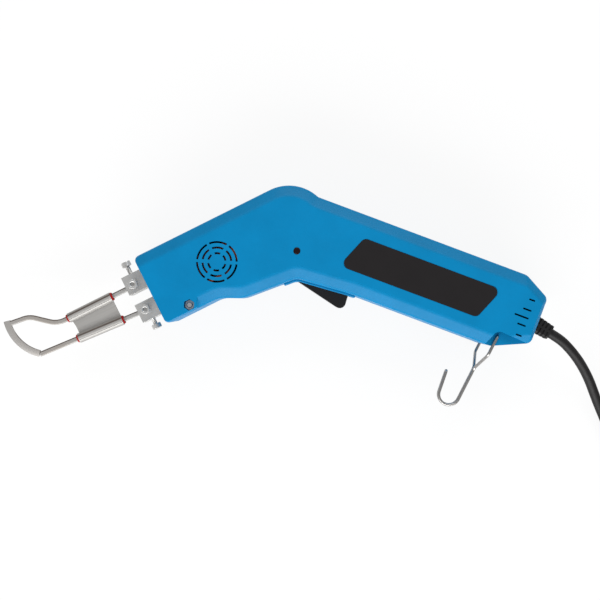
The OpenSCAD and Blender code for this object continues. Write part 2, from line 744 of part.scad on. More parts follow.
// Blade: one strip, bent into two legs and a foot with a bevelled outer edge
upper_leg = bent_path([[-leg_in, 0], [jog_start, 0], [jog_start + jog_len, jog_rise],
    [jog_start + jog_len + toe_len, jog_rise + toe_rise]], [jog_r, jog_r], corner_steps);
module blade() color("#9a9894") {
    at_barrel(front_u, upper_leg_v) up(mid - blade_t / 2) mirror([1, 0, 0])
        linear_extrude(blade_t) polygon(strip(upper_leg, leg_w));
    along_leg(-1) translate([-leg_in, -leg_w / 2, -blade_t / 2])
        cube([leg_in + lower_leg_len, leg_w, blade_t]);
    at_barrel(front_u + foot_u, foot_v) up(mid) rotate(180 - foot_from) rotate_extrude(angle = foot_sweep)
        polygon([[foot_r - foot_w, -blade_t / 2], [foot_r - foot_bevel, -blade_t / 2], [foot_r, 0],
            [foot_r - foot_bevel, blade_t / 2], [foot_r - foot_w, blade_t / 2]]);
}

tube_r = shield_tube_d / 2;
shield_u = front_u + shield_start;
shield_end = shield_u + shield_len;
sleeve_r = tube_r - shield_wall - fit;
module blade_shield() color("#94908b") difference() {
    union() {
        for (side = [1, -1]) along_leg(side) translate([shield_start, 0, 0]) rotate([0, 90, 0])
            cylinder(r = tube_r, h = shield_len);
        difference() {
            up(mid - shield_plate / 2) linear_extrude(shield_plate) polygon([
                barrel_pt(shield_u, upper_leg_v), barrel_pt(shield_end, upper_leg_v),
                barrel_pt(shield_end, lower_leg_at(shield_end)), barrel_pt(shield_u, lower_leg_at(shield_u))]);
            at_barrel(shield_end + shield_bow, axis_v) cylinder(r = shield_bow_r, h = body_w);
        }
    }
    for (side = [1, -1]) along_leg(side) translate([shield_start - over, 0, 0]) rotate([0, 90, 0])
        cylinder(r = tube_r - shield_wall, h = shield_len + 2 * over);
}

module sleeve(side) color("#be0000") along_leg(side) translate([shield_start - sleeve_proud, 0, 0])
    rotate([0, 90, 0]) difference() {
        cylinder(r = sleeve_r, h = shield_len + 2 * sleeve_proud);
        up(-over)
            cylinder(r = norm([leg_w, blade_t]) / 2 + fit, h = shield_len + 2 * sleeve_proud + 2 * over);
    }
module sleeve_upper() sleeve(1);
module sleeve_lower() sleeve(-1);

module switch_body() color(black) at_trigger(switch_x, 0) up(mid) difference() {
    translate([-switch_len / 2, switch_low, -switch_w / 2]) cube([switch_len, switch_h, switch_w]);
    translate([0, -plunger_tip, 0]) rotate([-90, 0, 0])
        cylinder(r = plunger_r + fit, h = plunger_len + plunger_room);
}

module switch_plunger() color("#d8d4cc") at_trigger(switch_x, -plunger_tip) up(mid) rotate([-90, 0, 0]) {
    cylinder(r1 = plunger_r / 2, r2 = plunger_r, h = plunger_r / 2);
    up(plunger_r / 2) cylinder(r = plunger_r, h = plunger_len - plunger_r / 2);
}

module trigger() color(black) up(mid - trigger_half) difference() {
    union() {
        at_trigger(0, 0) linear_extrude(trigger_w) polygon(bent_loop([[-trigger_nose, -trigger_chin],
            [trigger_len, -trigger_drop], [trigger_len, -trigger_top], [-trigger_nose, -trigger_top]],
            [trigger_edge_r, trigger_tip_r, trigger_edge_r, trigger_edge_r], corner_steps));
        translate(pin_xy) up(-seat) cylinder(r = trigger_hub_r, h = trigger_w + 2 * seat);
    }
    translate(pin_xy) up(-over) cylinder(d = trigger_pin_d + 2 * fit, h = trigger_w + 2 * over);
}

module trigger_pin() color(steel) translate(pin_xy) up(mid - slot_half - pin_grip)
    cylinder(d = trigger_pin_d, h = 2 * (slot_half + pin_grip));

// Hook: one wire from pin to pin, doubled in the shank and the bend
hook_end = [hook_reach + hook_r * sin(hook_turn), -hook_r * (1 - cos(hook_turn))]
    + hook_tip * [cos(hook_turn), -sin(hook_turn)];
hook_side = concat(
    bent_path([[0, 0, hook_level - hook_pin_len / 4], [0, 0, hook_level], [hook_leg, 0, hook_level],
        [hook_join, 0, hook_half], [hook_reach, 0, hook_half]], hook_bends, hook_steps),
    [for (k = [1:hook_arc_steps]) let (a = hook_turn * k / hook_arc_steps)
        [hook_reach + hook_r * sin(a), -hook_r * (1 - cos(a)), hook_half]],
    [concat(hook_end, hook_half)]);
hook_cap = [for (k = [1:hook_steps - 1]) let (a = 180 * k / hook_steps)
    concat(hook_end + hook_half * sin(a) * [cos(hook_turn), -sin(hook_turn)], hook_half * cos(a))];
hook_path = concat(hook_side, hook_cap,
    [for (i = [len(hook_side) - 1:-1:0]) [hook_side[i][0], hook_side[i][1], -hook_side[i][2]]]);
module hanging_hook() color(steel) translate(hook_xy) up(mid) {
    rotate(hook_rest) tube(hook_path, hook_wire / 2, hook_sides, [0, 1, 0]);
    for (side = [0, 1]) mirror([0, 0, side]) up(hook_level - hook_pin_len)
        cylinder(r = hook_pin_r, h = hook_pin_len - hook_wire / 2);
}

// Wires: points chosen by hand, as shares of the grip's length, distances off its middle line and heights
wire_r = 1.1;
wire_rings = 8;
wire_free = 1.6;
wire_rise = 13;
live_shares = [[0.738, 5.5, 2], [0.6, 1.5, 2], [0.452, -4, 2]];
neutral_shares = [[0.684, 5.5, -1.6], [0.397, 7.7, 2], [0.16, 6.3, 10], [-0.029, -4.9, 13]];
switched_shares = [[0.088, -3.3, 7], [-0.0015, -10.8, 12]];
live_end = 10.9;
switched_start = 14;
neutral_v = 2.7;
switched_v = -4.2;
function in_grip(rows) = [for (r = rows) concat(grip_pt(r[0] * grip_len, r[1]), mid + r[2])];
function wire_start(row) = concat(relief_pt(-cord_in - wire_free, 0), mid + row[2]);
function coil_lead(v) = concat(barrel_pt(core_u - bobbin_len / 2 - joint_gap, v), mid + wire_rise);
function at_switch(side, y, row) =
    concat(trigger_pt(switch_x + side * (switch_len / 2 + joint_gap), y), mid + row[2]);
live_route = concat([wire_start(live_shares[0])], in_grip(live_shares),
    [at_switch(1, live_end, live_shares[2])]);
neutral_route = concat([wire_start(neutral_shares[0])], in_grip(neutral_shares), [coil_lead(neutral_v)]);
switched_route = concat([at_switch(-1, switched_start, live_shares[0])], in_grip(switched_shares),
    [coil_lead(switched_v)]);
module live_wire() color("#8a4b2a") tube(smooth(live_route, cord_steps), wire_r, wire_rings);
module neutral_wire() color("#2a5fa0") tube(smooth(neutral_route, cord_steps), wire_r, wire_rings);
module switched_wire() color(black) tube(smooth(switched_route, cord_steps), wire_r, wire_rings);

module cord_clamp() color(black) at_relief(-clamp_x, 0) up(mid + cord_r + fit) difference() {
    translate([-clamp_len / 2, -clamp_span / 2 - clamp_end, 0])
        cube([clamp_len, clamp_span + 2 * clamp_end, clamp_t]);
    for (y = [-1, 1]) translate([0, y * clamp_span / 2, -over])
        cylinder(d = screw_d + 2 * head_play, h = clamp_t + 2 * over);
}

module cord_clamp_screws() color(steel) at_relief(-clamp_x, 0) for (y = [-1, 1])
    translate([0, y * clamp_span / 2, mid + cord_r + fit + clamp_t])
        cap_screw(clamp_t + fit + cord_r + screw_grip);

// Strain relief: a flange and neck in the rear wall, then a tapering notched block
module strain_relief() color(black) at_relief(0, 0) up(mid) rotate([0, 90, 0]) difference() {
    union() {
        up(-relief_neck - relief_flange) cylinder(r = relief_flange_r, h = relief_flange);
        up(-relief_neck) cylinder(r = relief_neck_r, h = relief_neck + over);
        linear_extrude(relief_out, scale = relief_taper_share)
            polygon(round_box(relief_wide, relief_wide, relief_r));
    }
    for (k = [1:relief_rows], q = [0:3]) rotate(q * 90) up(k * relief_out / (relief_rows + 1)) for (y = [0, 1])
        mirror([0, y, 0]) translate([relief_wide / 2 - relief_notch_deep, relief_web / 2, 0])
            cube([relief_wide, relief_wide, relief_notch]);
    up(-relief_neck - relief_flange - over) cylinder(r = cord_r + fit, h = body_w);
}

// Cord: a lead to the coil, the coil, a tail and a plug
lead_start = concat(relief_pt(-cord_in, 0), mid);
module cord_lead() color(black)
    tube(concat([lead_start], smooth(lead_route, cord_steps)), cord_r, cord_sides);
module cord_tail() color(black) tube(smooth(tail_route, cord_steps), cord_r, cord_sides);

coil_start = lead_route[len(lead_route) - 1] - [0, joint_gap, 0];
coil_end = tail_route[0] - [0, joint_gap, 0];
coil_xy = ([coil_start[0], coil_start[1]] + [coil_end[0], coil_end[1]]) / 2;
coil_r = (coil_end[0] - coil_start[0]) / 2;
coil_all = 2 * coil_turns + 0.5;
function coil_radius(n) = coil_r - coil_step * min(n, coil_all - n);
function coil_z(n) = coil_start[2] + (coil_end[2] - coil_start[2]) * min(1, max(0, 2 * (n - coil_turns)));
coil_path = concat([coil_start], [for (k = [1:coil_all * coil_rings - 1]) let (n = k / coil_rings)
    concat(coil_xy + coil_radius(n) * [cos(180 + 360 * n), sin(180 + 360 * n)], coil_z(n))], [coil_end]);
coil_self = min([for (i = [0:len(coil_path) - 1], j = [i + coil_rings / 2:1:len(coil_path) - 1])
    norm(coil_path[i] - coil_path[j])]) - cord_d;
wire_self = min([for (i = [0:len(wire_path) - 1], j = [i + len(turn_pts) / 2:1:len(wire_path) - 1])
    norm(wire_path[i] - wire_path[j])]) - wire_d;
module cord_coil() color(black) tube(coil_path, cord_r, coil_sides);

module cable_tie() color(black) {
    first = tie_turn / 360 + 0.5;
    inner = coil_radius(first + coil_turns - 1) - cord_r - tie_gap;
    outer = coil_radius(first) + cord_r + tie_gap;
    low = coil_start[2] - cord_r - tie_gap;
    high = coil_end[2] + cord_r + tie_gap;
    translate(coil_xy) rotate(tie_turn) difference() {
        translate([inner - tie_t, -tie_w / 2, low - tie_t])
            cube([outer - inner + 2 * tie_t, tie_w, high - low + 2 * tie_t]);
        translate([inner, -tie_w, low]) cube([outer - inner, 2 * tie_w, high - low]);
    }
}

tail_end = tail_route[len(tail_route) - 1];
plug_outline = bent_loop([[-plug_nose_w / 2, 0], [plug_nose_w / 2, 0], [plug_w / 2, plug_grip],
    [plug_w / 2, plug_len], [-plug_w / 2, plug_len], [-plug_w / 2, plug_grip]],
    [plug_r, plug_r, plug_r, plug_r, plug_r, plug_r] / 2, corner_steps);
module plug_body() color(black) translate(tail_end) difference() {
    union() {
        up(-plug_h / 2) linear_extrude(plug_h) polygon(plug_outline);
        translate([0, -plug_neck, 0]) rotate([-90, 0, 0])
            cylinder(d = plug_nose_w - plug_r / 2, h = plug_neck + over);
    }
    for (p = pin_places) pin_at(p) translate([-pin_w / 2, plug_len - pin_root, -pin_t / 2])
        cube([pin_w, pin_len, pin_t]);
    translate([0, -plug_neck - over, 0]) rotate([-90, 0, 0])
        cylinder(r = cord_r + fit, h = plug_neck + over + seat);
}

// Blades of the plug: two leaning ones and a straight one
pin_places = [[-pin_spread, pin_back / 2, pin_lean], [pin_spread, pin_back / 2, -pin_lean],
    [0, -pin_back, 90]];
module pin_at(p) translate([p[0], 0, p[1]]) rotate([0, p[2], 0]) children();
module plug_pins() color(steel) translate(tail_end) for (p = pin_places) pin_at(p)
    translate([-pin_w / 2, plug_len - pin_root, -pin_t / 2]) cube([pin_w, pin_root + pin_len, pin_t]);

echo(coil_gap_to_itself = coil_self, wire_gap_to_itself = wire_self);

left_shell();
right_shell();
front_insulator();
label_plate();
indicator_lens();
indicator_lamp();
housing_screws();
through_bolt();
through_nut();
transformer_core();
transformer_bobbin();
inner_winding();
outer_winding();
secondary_loop();
terminal_upper();
terminal_lower();
edge_clamp_screws();
face_clamp_screws();
blade();
blade_shield();
sleeve_upper();
sleeve_lower();
switch_body();
switch_plunger();
trigger();
trigger_pin();
hanging_hook();
live_wire();
neutral_wire();
switched_wire();
cord_clamp();
cord_clamp_screws();
strain_relief();
cord_lead();
cord_coil();
cable_tie();
cord_tail();
plug_body();
plug_pins();
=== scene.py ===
import math

import bmesh
import bpy
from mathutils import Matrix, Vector


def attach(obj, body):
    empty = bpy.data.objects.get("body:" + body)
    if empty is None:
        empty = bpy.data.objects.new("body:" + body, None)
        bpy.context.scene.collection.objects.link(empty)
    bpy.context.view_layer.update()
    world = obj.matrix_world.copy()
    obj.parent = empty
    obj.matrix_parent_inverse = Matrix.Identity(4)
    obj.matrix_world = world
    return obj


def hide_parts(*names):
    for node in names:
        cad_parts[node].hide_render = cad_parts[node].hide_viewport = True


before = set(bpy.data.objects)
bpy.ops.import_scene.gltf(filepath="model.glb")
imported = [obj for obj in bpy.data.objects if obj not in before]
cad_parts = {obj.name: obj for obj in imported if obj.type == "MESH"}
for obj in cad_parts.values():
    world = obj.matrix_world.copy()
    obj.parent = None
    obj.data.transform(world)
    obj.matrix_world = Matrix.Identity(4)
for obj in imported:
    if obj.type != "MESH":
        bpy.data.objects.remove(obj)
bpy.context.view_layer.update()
scene = bpy.context.scene
scene.view_settings.view_transform = "Standard"
mm = 0.001
upward = Vector((0, 0, 1))

# tilts of the object's own axes in degrees, two origins in mm, and the height of the plane between the shells
axisSet = {"barrel": 26.5, "grip": -20.5, "trigger": -16.6, "relief": -31,
           "triggerAt": (11, -26.5), "reliefAt": (149.9, -56.5), "mid": 23}
barrelTurn, midHeight = axisSet["barrel"], axisSet["mid"]


def turned(x, y, degrees):
    a = math.radians(degrees)
    return x * math.cos(a) - y * math.sin(a), x * math.sin(a) + y * math.cos(a)


# points in the tilted frames of the barrel, grip, trigger and strain relief, given in mm
def tilted(x, y, degrees, z, origin=(0, 0)):
    p = turned(x, y, degrees)
    return Vector((origin[0] + p[0], origin[1] + p[1], z)) * mm


def barrelPoint(u, v, z=midHeight):
    return tilted(-u, v, barrelTurn, z)


def gripPoint(s, t, z=midHeight):
    return tilted(s, t, axisSet["grip"], z)


def triggerPoint(x, y, z=midHeight):
    return tilted(x, y, axisSet["trigger"], z, axisSet["triggerAt"])


def reliefPoint(x, y, z=midHeight):
    return tilted(x, y, axisSet["relief"], z, axisSet["reliefAt"])


def plan(p):  # back to mm, seen from above
    return Vector((p.x, p.y)) / mm


# camera straight above the left face, at the distance that the photo's perspective gives
cameraSet = {"over": (0.0108, -0.0432), "height": 0.573, "lens": 55, "sensor": 36, "clip": (0.01, 20)}
view = bpy.data.cameras.new("view")
view.lens, view.sensor_width = cameraSet["lens"], cameraSet["sensor"]
view.clip_start, view.clip_end = cameraSet["clip"]
cameraObject = bpy.data.objects.new("camera", view)
cameraObject.location = (*cameraSet["over"], cameraSet["height"])
scene.collection.objects.link(cameraObject)
scene.camera = cameraObject
print("camera placed")


# small material kit: every finish is a node tree around one shader
class Finish:
    def __init__(self, name, **sockets):
        self.material = bpy.data.materials.new(name)
        self.material.use_nodes = True
        self.tree = self.material.node_tree
        self.shader = self.tree.nodes["Principled BSDF"]
        self.coords = self.add("ShaderNodeTexCoord")
        for key, value in sockets.items():
            self.shader.inputs[key.replace("_", " ")].default_value = value

    def add(self, kind, **settings):
        node = self.tree.nodes.new(kind)
        for key, value in settings.items():
            if hasattr(node, key):
                setattr(node, key, value)
            else:
                node.inputs[key.replace("_", " ")].default_value = value
        return node

    def link(self, a, b):
        self.tree.links.new(a, b)

    # links outputs to inputs, and writes plain values into them
    def feed(self, values, inputs):
        for value, socket in zip(values, inputs):
            if isinstance(value, bpy.types.NodeSocket):
                self.link(value, socket)
            else:
                socket.default_value = value

    def calc(self, operation, *values):
        m = self.add("ShaderNodeMath", operation=operation)
        self.feed(values, m.inputs)
        return m.outputs[0]

    def split(self, vector):
        parts = self.add("ShaderNodeSeparateXYZ")
        self.link(vector, parts.inputs[0])
        return parts.outputs

    # object coordinates, turned about Z and stretched
    def mapped(self, turn=0, stretch=(1, 1, 1)):
        spin = self.add("ShaderNodeMapping", Rotation=(0, 0, -math.radians(turn)))
        self.link(self.coords.outputs["Object"], spin.inputs["Vector"])
        size = self.add("ShaderNodeMapping", Scale=stretch)
        self.link(spin.outputs["Vector"], size.inputs["Vector"])
        return size.outputs["Vector"]

    def noise(self, vector, scale, detail=3, roughness=0.55):
        n = self.add("ShaderNodeTexNoise", Scale=scale, Detail=detail, Roughness=roughness)
        self.link(vector, n.inputs["Vector"])
        return n.outputs["Fac"]

    def ramp(self, value, *stops):
        r = self.add("ShaderNodeValToRGB")
        elements = r.color_ramp.elements
        elements.remove(elements[1])
        elements[0].position, elements[0].color = stops[0][0], (*stops[0][1], 1)
        for place, colour in stops[1:]:
            elements.new(place).color = (*colour, 1)
        self.link(value, r.inputs["Fac"])
        return r.outputs["Color"]

    def span(self, value, low, high, start=0, end=1):
        m = self.add("ShaderNodeMapRange", From_Min=start, From_Max=end, To_Min=low, To_Max=high)
        self.link(value, m.inputs["Value"])
        return m.outputs["Result"]

    # grey by how far a face leans up across the barrel, from 0 for down to 1 for up; this mask places painted shade and
    # painted reflection by which way a face points
    def paintedShadeByFacing(self, stops):
        spin = self.add("ShaderNodeVectorRotate", rotation_type="Z_AXIS", Angle=-math.radians(barrelTurn))
        self.link(self.coords.outputs["Normal"], spin.inputs["Vector"])
        up = self.calc("MULTIPLY_ADD", self.split(spin.outputs["Vector"])[1], 0.5, 0.5)
        return self.ramp(up, *[(place, (k, k, k)) for place, k in stops])

    def mixed(self, share, first, second):
        m = self.add("ShaderNodeMix", data_type="RGBA")
        self.feed((share, first, (*second, 1)), (m.inputs[0], m.inputs[6], m.inputs[7]))
        return m.outputs[2]

    def colour(self, output):
        self.link(output, self.shader.inputs["Base Color"])

    def rough(self, output):
        self.link(output, self.shader.inputs["Roughness"])

    def bump(self, *layers):
        last = None
        for value, depth in layers:
            b = self.add("ShaderNodeBump", Strength=1.0, Distance=depth)
            self.link(value, b.inputs["Height"])
            if last:
                self.link(last, b.inputs["Normal"])
            last = b.outputs["Normal"]
        self.link(last, self.shader.inputs["Normal"])


def linear(r, g, b):  # picture values 0 to 255, as scene colours
    return tuple((c / 255 / 12.92) if c < 11 else ((c / 255 + 0.055) / 1.055) ** 2.4 for c in (r, g, b))


def cloudy(rgb, tone):  # a colour, a little darker and a little lighter, as stops of a ramp
    colour = linear(*rgb)
    return [(place, tuple(min(1, c * k) for c in colour)) for place, k in ((0.3, 1 - tone), (0.7, 1 + tone))]


# moulded plastic: pebble grain, cloudy tone, uneven gloss
def mouldedFinish(name, rgb, roughness, grain=0.00045, depth=0.00003, tone=0.05, **sockets):
    f = Finish(name, **sockets)
    at = f.mapped()
    f.colour(f.ramp(f.noise(at, 60, 4), *cloudy(rgb, tone)))
    f.rough(f.span(f.noise(at, 180, 2), roughness - 0.06, roughness + 0.06))
    f.bump((f.noise(at, 1 / grain, 2, 0.5), depth), (f.noise(at, 0.25 / grain, 2, 0.5), depth * 1.5))
    return f.material


# metal with fine lines along one direction
def brushedFinish(name, rgb, roughness, turn=barrelTurn, lines=9000, depth=0.000004, tone=0.08, stretch=0.02,
                  **sockets):
    f = Finish(name, **{"Metallic": 1.0, **sockets})
    f.colour(f.ramp(f.noise(f.mapped(), 90, 4), *cloudy(rgb, tone)))
    grain = f.noise(f.mapped(turn, (stretch, 1, 1)), lines, 2)
    f.rough(f.span(grain, roughness - 0.08, roughness + 0.1))
    f.bump((grain, depth))
    return f.material


bluePlastic = mouldedFinish("bluePlastic", (0, 115, 165), 0.42, Specular_IOR_Level=0.11)
blackPlastic = mouldedFinish("blackPlastic", (24, 22, 23), 0.5, Specular_IOR_Level=0.25)
blackRubber = mouldedFinish("blackRubber", (14, 12, 13), 0.55, grain=0.0003, depth=0.000015, Specular_IOR_Level=0.3)
labelFilm = mouldedFinish("labelFilm", (28, 26, 27), 0.5, grain=0.0002, depth=0.000008, tone=0.03,
                          Specular_IOR_Level=0.13)
creamPlastic = mouldedFinish("creamPlastic", (226, 219, 200), 0.5)
brownWire = mouldedFinish("brownWire", (112, 66, 38), 0.45)
blueWire = mouldedFinish("blueWire", (42, 92, 158), 0.45)
zincSteel = brushedFinish("zincSteel", (206, 206, 206), 0.38, Metallic=0.5)
nickelPlate = brushedFinish("nickelPlate", (198, 197, 195), 0.38, Metallic=0.75)
wireSteel = brushedFinish("wireSteel", (158, 156, 154), 0.36, turn=63, lines=1500, depth=0.0000005)

# rolled sheet: soft grain along the legs, a painted dark brown reflection along the up-turned side of each roll and
# painted shade at its seam
sheetLook = {"sheet": [(0.3, (163, 161, 158)), (0.7, (171, 169, 166))], "paintedDarkColour": (80, 66, 58), "metal": 0.7,
             "paintedDarkBands": [(0.24, 0), (0.262, 0.75), (0.28, 0.75), (0.3, 0), (0.6, 0), (0.67, 0.95), (0.76, 0.85),
                        (0.86, 0.2)],
             "lines": 1400, "stretch": (0.03, 1, 1), "rough": (0.54, 0.6), "depth": 0.0000003}


def shieldFinish():
    s = sheetLook
    f = Finish("stainlessSheet", Metallic=s["metal"])
    grain = f.noise(f.mapped(barrelTurn, s["stretch"]), s["lines"], 2)
    sheet = f.ramp(grain, *[(stop, linear(*rgb)) for stop, rgb in s["sheet"]])
    # dark brown where a face turns up across the barrel and at the seam's angle: painted reflection and painted shade
    f.colour(f.mixed(f.paintedShadeByFacing(s["paintedDarkBands"]), sheet, linear(*s["paintedDarkColour"])))
    f.rough(f.span(grain, *s["rough"]))
    f.bump((grain, s["depth"]))
    return f.material


# blade: ground steel with a straw heat colour that wanders along it, and a dark edge where faces lean up, which is a
# painted dark reflection
bladeLook = {"steel": [(0.1, (162, 160, 158)), (0.45, (158, 152, 146)), (0.7, (160, 158, 155)), (1.0, (166, 165, 163))],
             "along": (-0.175, -0.1), "wander": 0.3, "paintedDarkColour": (76, 64, 57), "paintedDarkBands": [(0.53, 0), (0.62, 0.95)],
             "metal": 0.6, "lines": 3000, "stretch": (0.03, 1, 1), "rough": (0.54, 0.6), "depth": 0.0000004}


def bladeFinish():
    s = bladeLook
    f = Finish("bladeSteel", Metallic=s["metal"])
    place = f.span(f.split(f.mapped(barrelTurn))[0], 0, 1, *s["along"])
    heat = f.calc("MULTIPLY_ADD", f.noise(f.mapped(), 140, 3), s["wander"], place)
    steel = f.ramp(heat, *[(stop, linear(*rgb)) for stop, rgb in s["steel"]])
    # darker brown on faces that lean up: painted dark reflection
    f.colour(f.mixed(f.paintedShadeByFacing(s["paintedDarkBands"]), steel, linear(*s["paintedDarkColour"])))
    grain = f.noise(f.mapped(barrelTurn, s["stretch"]), s["lines"], 2)
    f.rough(f.span(grain, *s["rough"]))
    f.bump((grain, s["depth"]))
    return f.material


# woven heat sleeve: crossed diagonal threads
def sleeveFinish():
    f = Finish("redSleeve", Roughness=0.7, Specular_IOR_Level=0.12)
    weave = []
    for turn in (barrelTurn + 45, barrelTurn - 45):
        w = f.add("ShaderNodeTexWave", Scale=900.0, Distortion=0.6)
        f.link(f.mapped(turn), w.inputs["Vector"])
        weave.append(w.outputs["Fac"])
    both = f.calc("MAXIMUM", *weave)
    f.colour(f.ramp(both, (0.2, linear(104, 0, 1)), (0.9, linear(168, 1, 3))))
    f.bump((both, 0.00008))
    return f.material


# stacked sheets with varnish between them
def laminationFinish():
    f = Finish("coreIron", Metallic=0.7)
    w = f.add("ShaderNodeTexWave", Scale=620.0, Distortion=0.2, bands_direction="Z")
    f.link(f.mapped(), w.inputs["Vector"])
    f.colour(f.ramp(w.outputs["Fac"], (0.1, linear(70, 66, 60)), (0.6, linear(140, 136, 130))))
    f.rough(f.span(f.noise(f.mapped(), 300), 0.4, 0.65))
    f.bump((w.outputs["Fac"], 0.00008))
    return f.material


# enamelled wire
def copperFinish():
    f = Finish("copperWire", Metallic=1.0, Coat_Weight=0.5, Coat_Roughness=0.15)
    f.colour(f.ramp(f.noise(f.mapped(), 200), (0.3, linear(196, 92, 34)), (0.7, linear(226, 126, 58))))
    f.rough(f.span(f.noise(f.mapped(), 500), 0.22, 0.4))
    f.bump((f.noise(f.mapped(), 900), 0.00001))
    return f.material


# pressed board with short fibres
def boardFinish():
    f = Finish("fibreBoard", Roughness=0.75)
    fibres = f.noise(f.mapped(barrelTurn, (0.2, 1, 1)), 2600, 4)
    f.colour(f.ramp(fibres, (0.3, linear(142, 104, 66)), (0.7, linear(190, 152, 104))))
    f.bump((fibres, 0.00003))
    return f.material


# clear pieces with a faint cloud in their colour
def clearFinish(name, cloud, dark, light, **sockets):
    f = Finish(name, **sockets)
    f.colour(f.ramp(f.noise(f.mapped(), cloud), (0.3, linear(*dark)), (0.7, linear(*light))))
    return f.material


stainlessSheet, bladeSteel, redSleeve = shieldFinish(), bladeFinish(), sleeveFinish()
coreIron, copperWire, fibreBoard = laminationFinish(), copperFinish(), boardFinish()
redLens = clearFinish("redLens", 900, (16, 2, 4), (30, 4, 6), Roughness=0.16, Transmission_Weight=0.25, IOR=1.49,
                      Specular_IOR_Level=0.2)
lampGlass = clearFinish("lampGlass", 400, (230, 170, 130), (246, 200, 160), Roughness=0.08, Transmission_Weight=0.8,
                        IOR=1.47)
print("finishes made")


# a finished piece of the object, from a mesh or a curve
def keep(name, data, body, slot, material, *nodes):
    piece = bpy.data.objects.new(name, data)
    scene.collection.objects.link(piece)
    data.materials.clear()
    data.materials.append(material)
    for face in getattr(data, "polygons", ()):  # a curve has none
        face.use_smooth = True
    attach(piece, body)
    if nodes:
        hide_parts(*nodes)
    return piece


def meshFrom(name, points, faces):
    mesh = bpy.data.meshes.new(name)
    mesh.from_pydata([tuple(p) for p in points], [], faces)
    mesh.update()
    return mesh


# rounds the hard edges of a piece and keeps its flats flat
def eased(piece, width, segments=2, angle=35, flats=True):
    b = piece.modifiers.new("ease", "BEVEL")
    b.width, b.segments, b.limit_method, b.angle_limit = width, segments, "ANGLE", math.radians(angle)
    b.use_clamp_overlap, b.miter_outer = True, "MITER_ARC"
    return flattened(piece) if flats else piece


def flattened(piece):
    n = piece.modifiers.new("flats", "WEIGHTED_NORMAL")
    n.keep_sharp, n.weight = True, 60
    return piece


def crisp(piece, degrees=35):  # smooth faces with sharp edges kept
    piece.data.set_sharp_from_angle(angle=math.radians(degrees))
    return piece


# pieces that keep their CAD shape: width of their rounded edges in metres, and the steps across them
edgeSet = {
    "labelPlate": (0.00012, 2), "upperTerminal": (0.0003, 3), "lowerTerminal": (0.0003, 3), "frontBoard": (0.00015, 2),
    "upperSleeve": (0.0002, 2), "lowerSleeve": (0.0002, 2), "caseScrews": (0.0002, 2), "throughBolt": (0.0002, 2),
    "lampLens": (0.0004, 4), "triggerLever": (0.0009, 4), "strainSleeve": (0.0002, 2), "cordTie": (0.0003, 2),
    "plugBody": (0.0015, 4), "plugBlades": (0.0003, 2),
}
weldReach = 2e-6


# own mesh of a CAD node, welded, with its flat faces joined and its edges rounded
def traced(name, node, body, slot, material, join=0.4):
    work = bmesh.new()
    work.from_mesh(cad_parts[node].data)
    bmesh.ops.remove_doubles(work, verts=work.verts, dist=weldReach)
    bmesh.ops.dissolve_limit(work, angle_limit=math.radians(join), verts=work.verts, edges=work.edges)
    mesh = bpy.data.meshes.new(name)
    work.to_mesh(mesh)
    work.free()
    return eased(keep(name, mesh, body, slot, material, node), *edgeSet[name])


# rings of points joined into a skin, closed at both ends or round in a loop
def skinned(rings, loop=False):
    n = len(rings[0])
    points = [p for ring in rings for p in ring]
    faces = []
    for i in range(len(rings) - (0 if loop else 1)):
        a, b = i * n, ((i + 1) % len(rings)) * n
        for j in range(n):
            k = (j + 1) % n
            faces.append((a + j, a + k, b + k, b + j))
    if not loop:
        faces += [tuple(reversed(range(n))), tuple(range(len(points) - n, len(points)))]
    return points, faces


def flipped(rings, flip):  # rings the other way round, for a mirrored piece
    return [ring[::-1] for ring in rings] if flip else rings


# several skins in one mesh
def gathered(name, *skins):
    points, faces = [], []
    for skinPoints, skinFaces in skins:
        start = len(points)
        points += skinPoints
        faces += [tuple(start + k for k in face) for face in skinFaces]
    return meshFrom(name, points, faces)


def waysAlong(path):  # direction of a line at each of its points
    last = len(path) - 1
    return [(path[min(i + 1, last)] - path[max(i - 1, 0)]).normalized() for i in range(last + 1)]


def roundTurn(count):
    return [2 * math.pi * k / count for k in range(count)]


# round tube along points, its rings carried without twist
def tubeRings(path, radius, sides, up=upward):
    rings = []
    for p, way in zip(path, waysAlong(path)):
        up = (up - way * up.dot(way)).normalized()
        side = way.cross(up)
        rings.append([p + (up * math.cos(a) + side * math.sin(a)) * radius for a in roundTurn(sides)])
    return rings


def softened(points, steps):  # smooth line through given points
    out = []
    for i in range(len(points) - 1):
        a, b = points[max(i - 1, 0)], points[i]
        c, d = points[i + 1], points[min(i + 2, len(points) - 1)]
        for x in (k / steps for k in range(steps)):
            bend = (2 * a - 5 * b + 4 * c - d) * 0.5 + (3 * b - a - 3 * c + d) * 0.5 * x
            out.append(b + ((c - a) * 0.5 + bend * x) * x)
    return out + [points[-1]]


# straight runs with round corners, as steps through each bend
def bentLine(points, radii, steps):
    out = [points[0]]
    for a, b, c, r in zip(points, points[1:], points[2:], radii):
        e, f = (b - a).normalized(), (c - b).normalized()
        w = e.angle(f)
        g = (f - e * e.dot(f)).normalized()
        start = b - e * r * math.tan(w / 2)
        angles = [w * k / steps for k in range(steps + 1)]
        out += [start + (e * math.sin(x) + g * (1 - math.cos(x))) * r for x in angles]
    return out + [points[-1]]


# rings about a Z axis; each row is a height and a radius, or a radius worked out from the angle
def ringsAbout(rows, count):
    angles = roundTurn(count)
    rings = []
    for z, radius in rows:
        reach = [radius(a) if callable(radius) else radius for a in angles]
        rings.append([Vector((r * math.cos(a), r * math.sin(a), z)) for r, a in zip(reach, angles)])
    return rings


# puts local points, in mm, at a place with their Z along out and their X along side
def standing(rings, place, out, side):
    out, side = out.normalized(), side.normalized()
    across = out.cross(side)
    return [[place + (side * p.x + across * p.y + out * p.z) * mm for p in ring] for ring in rings]


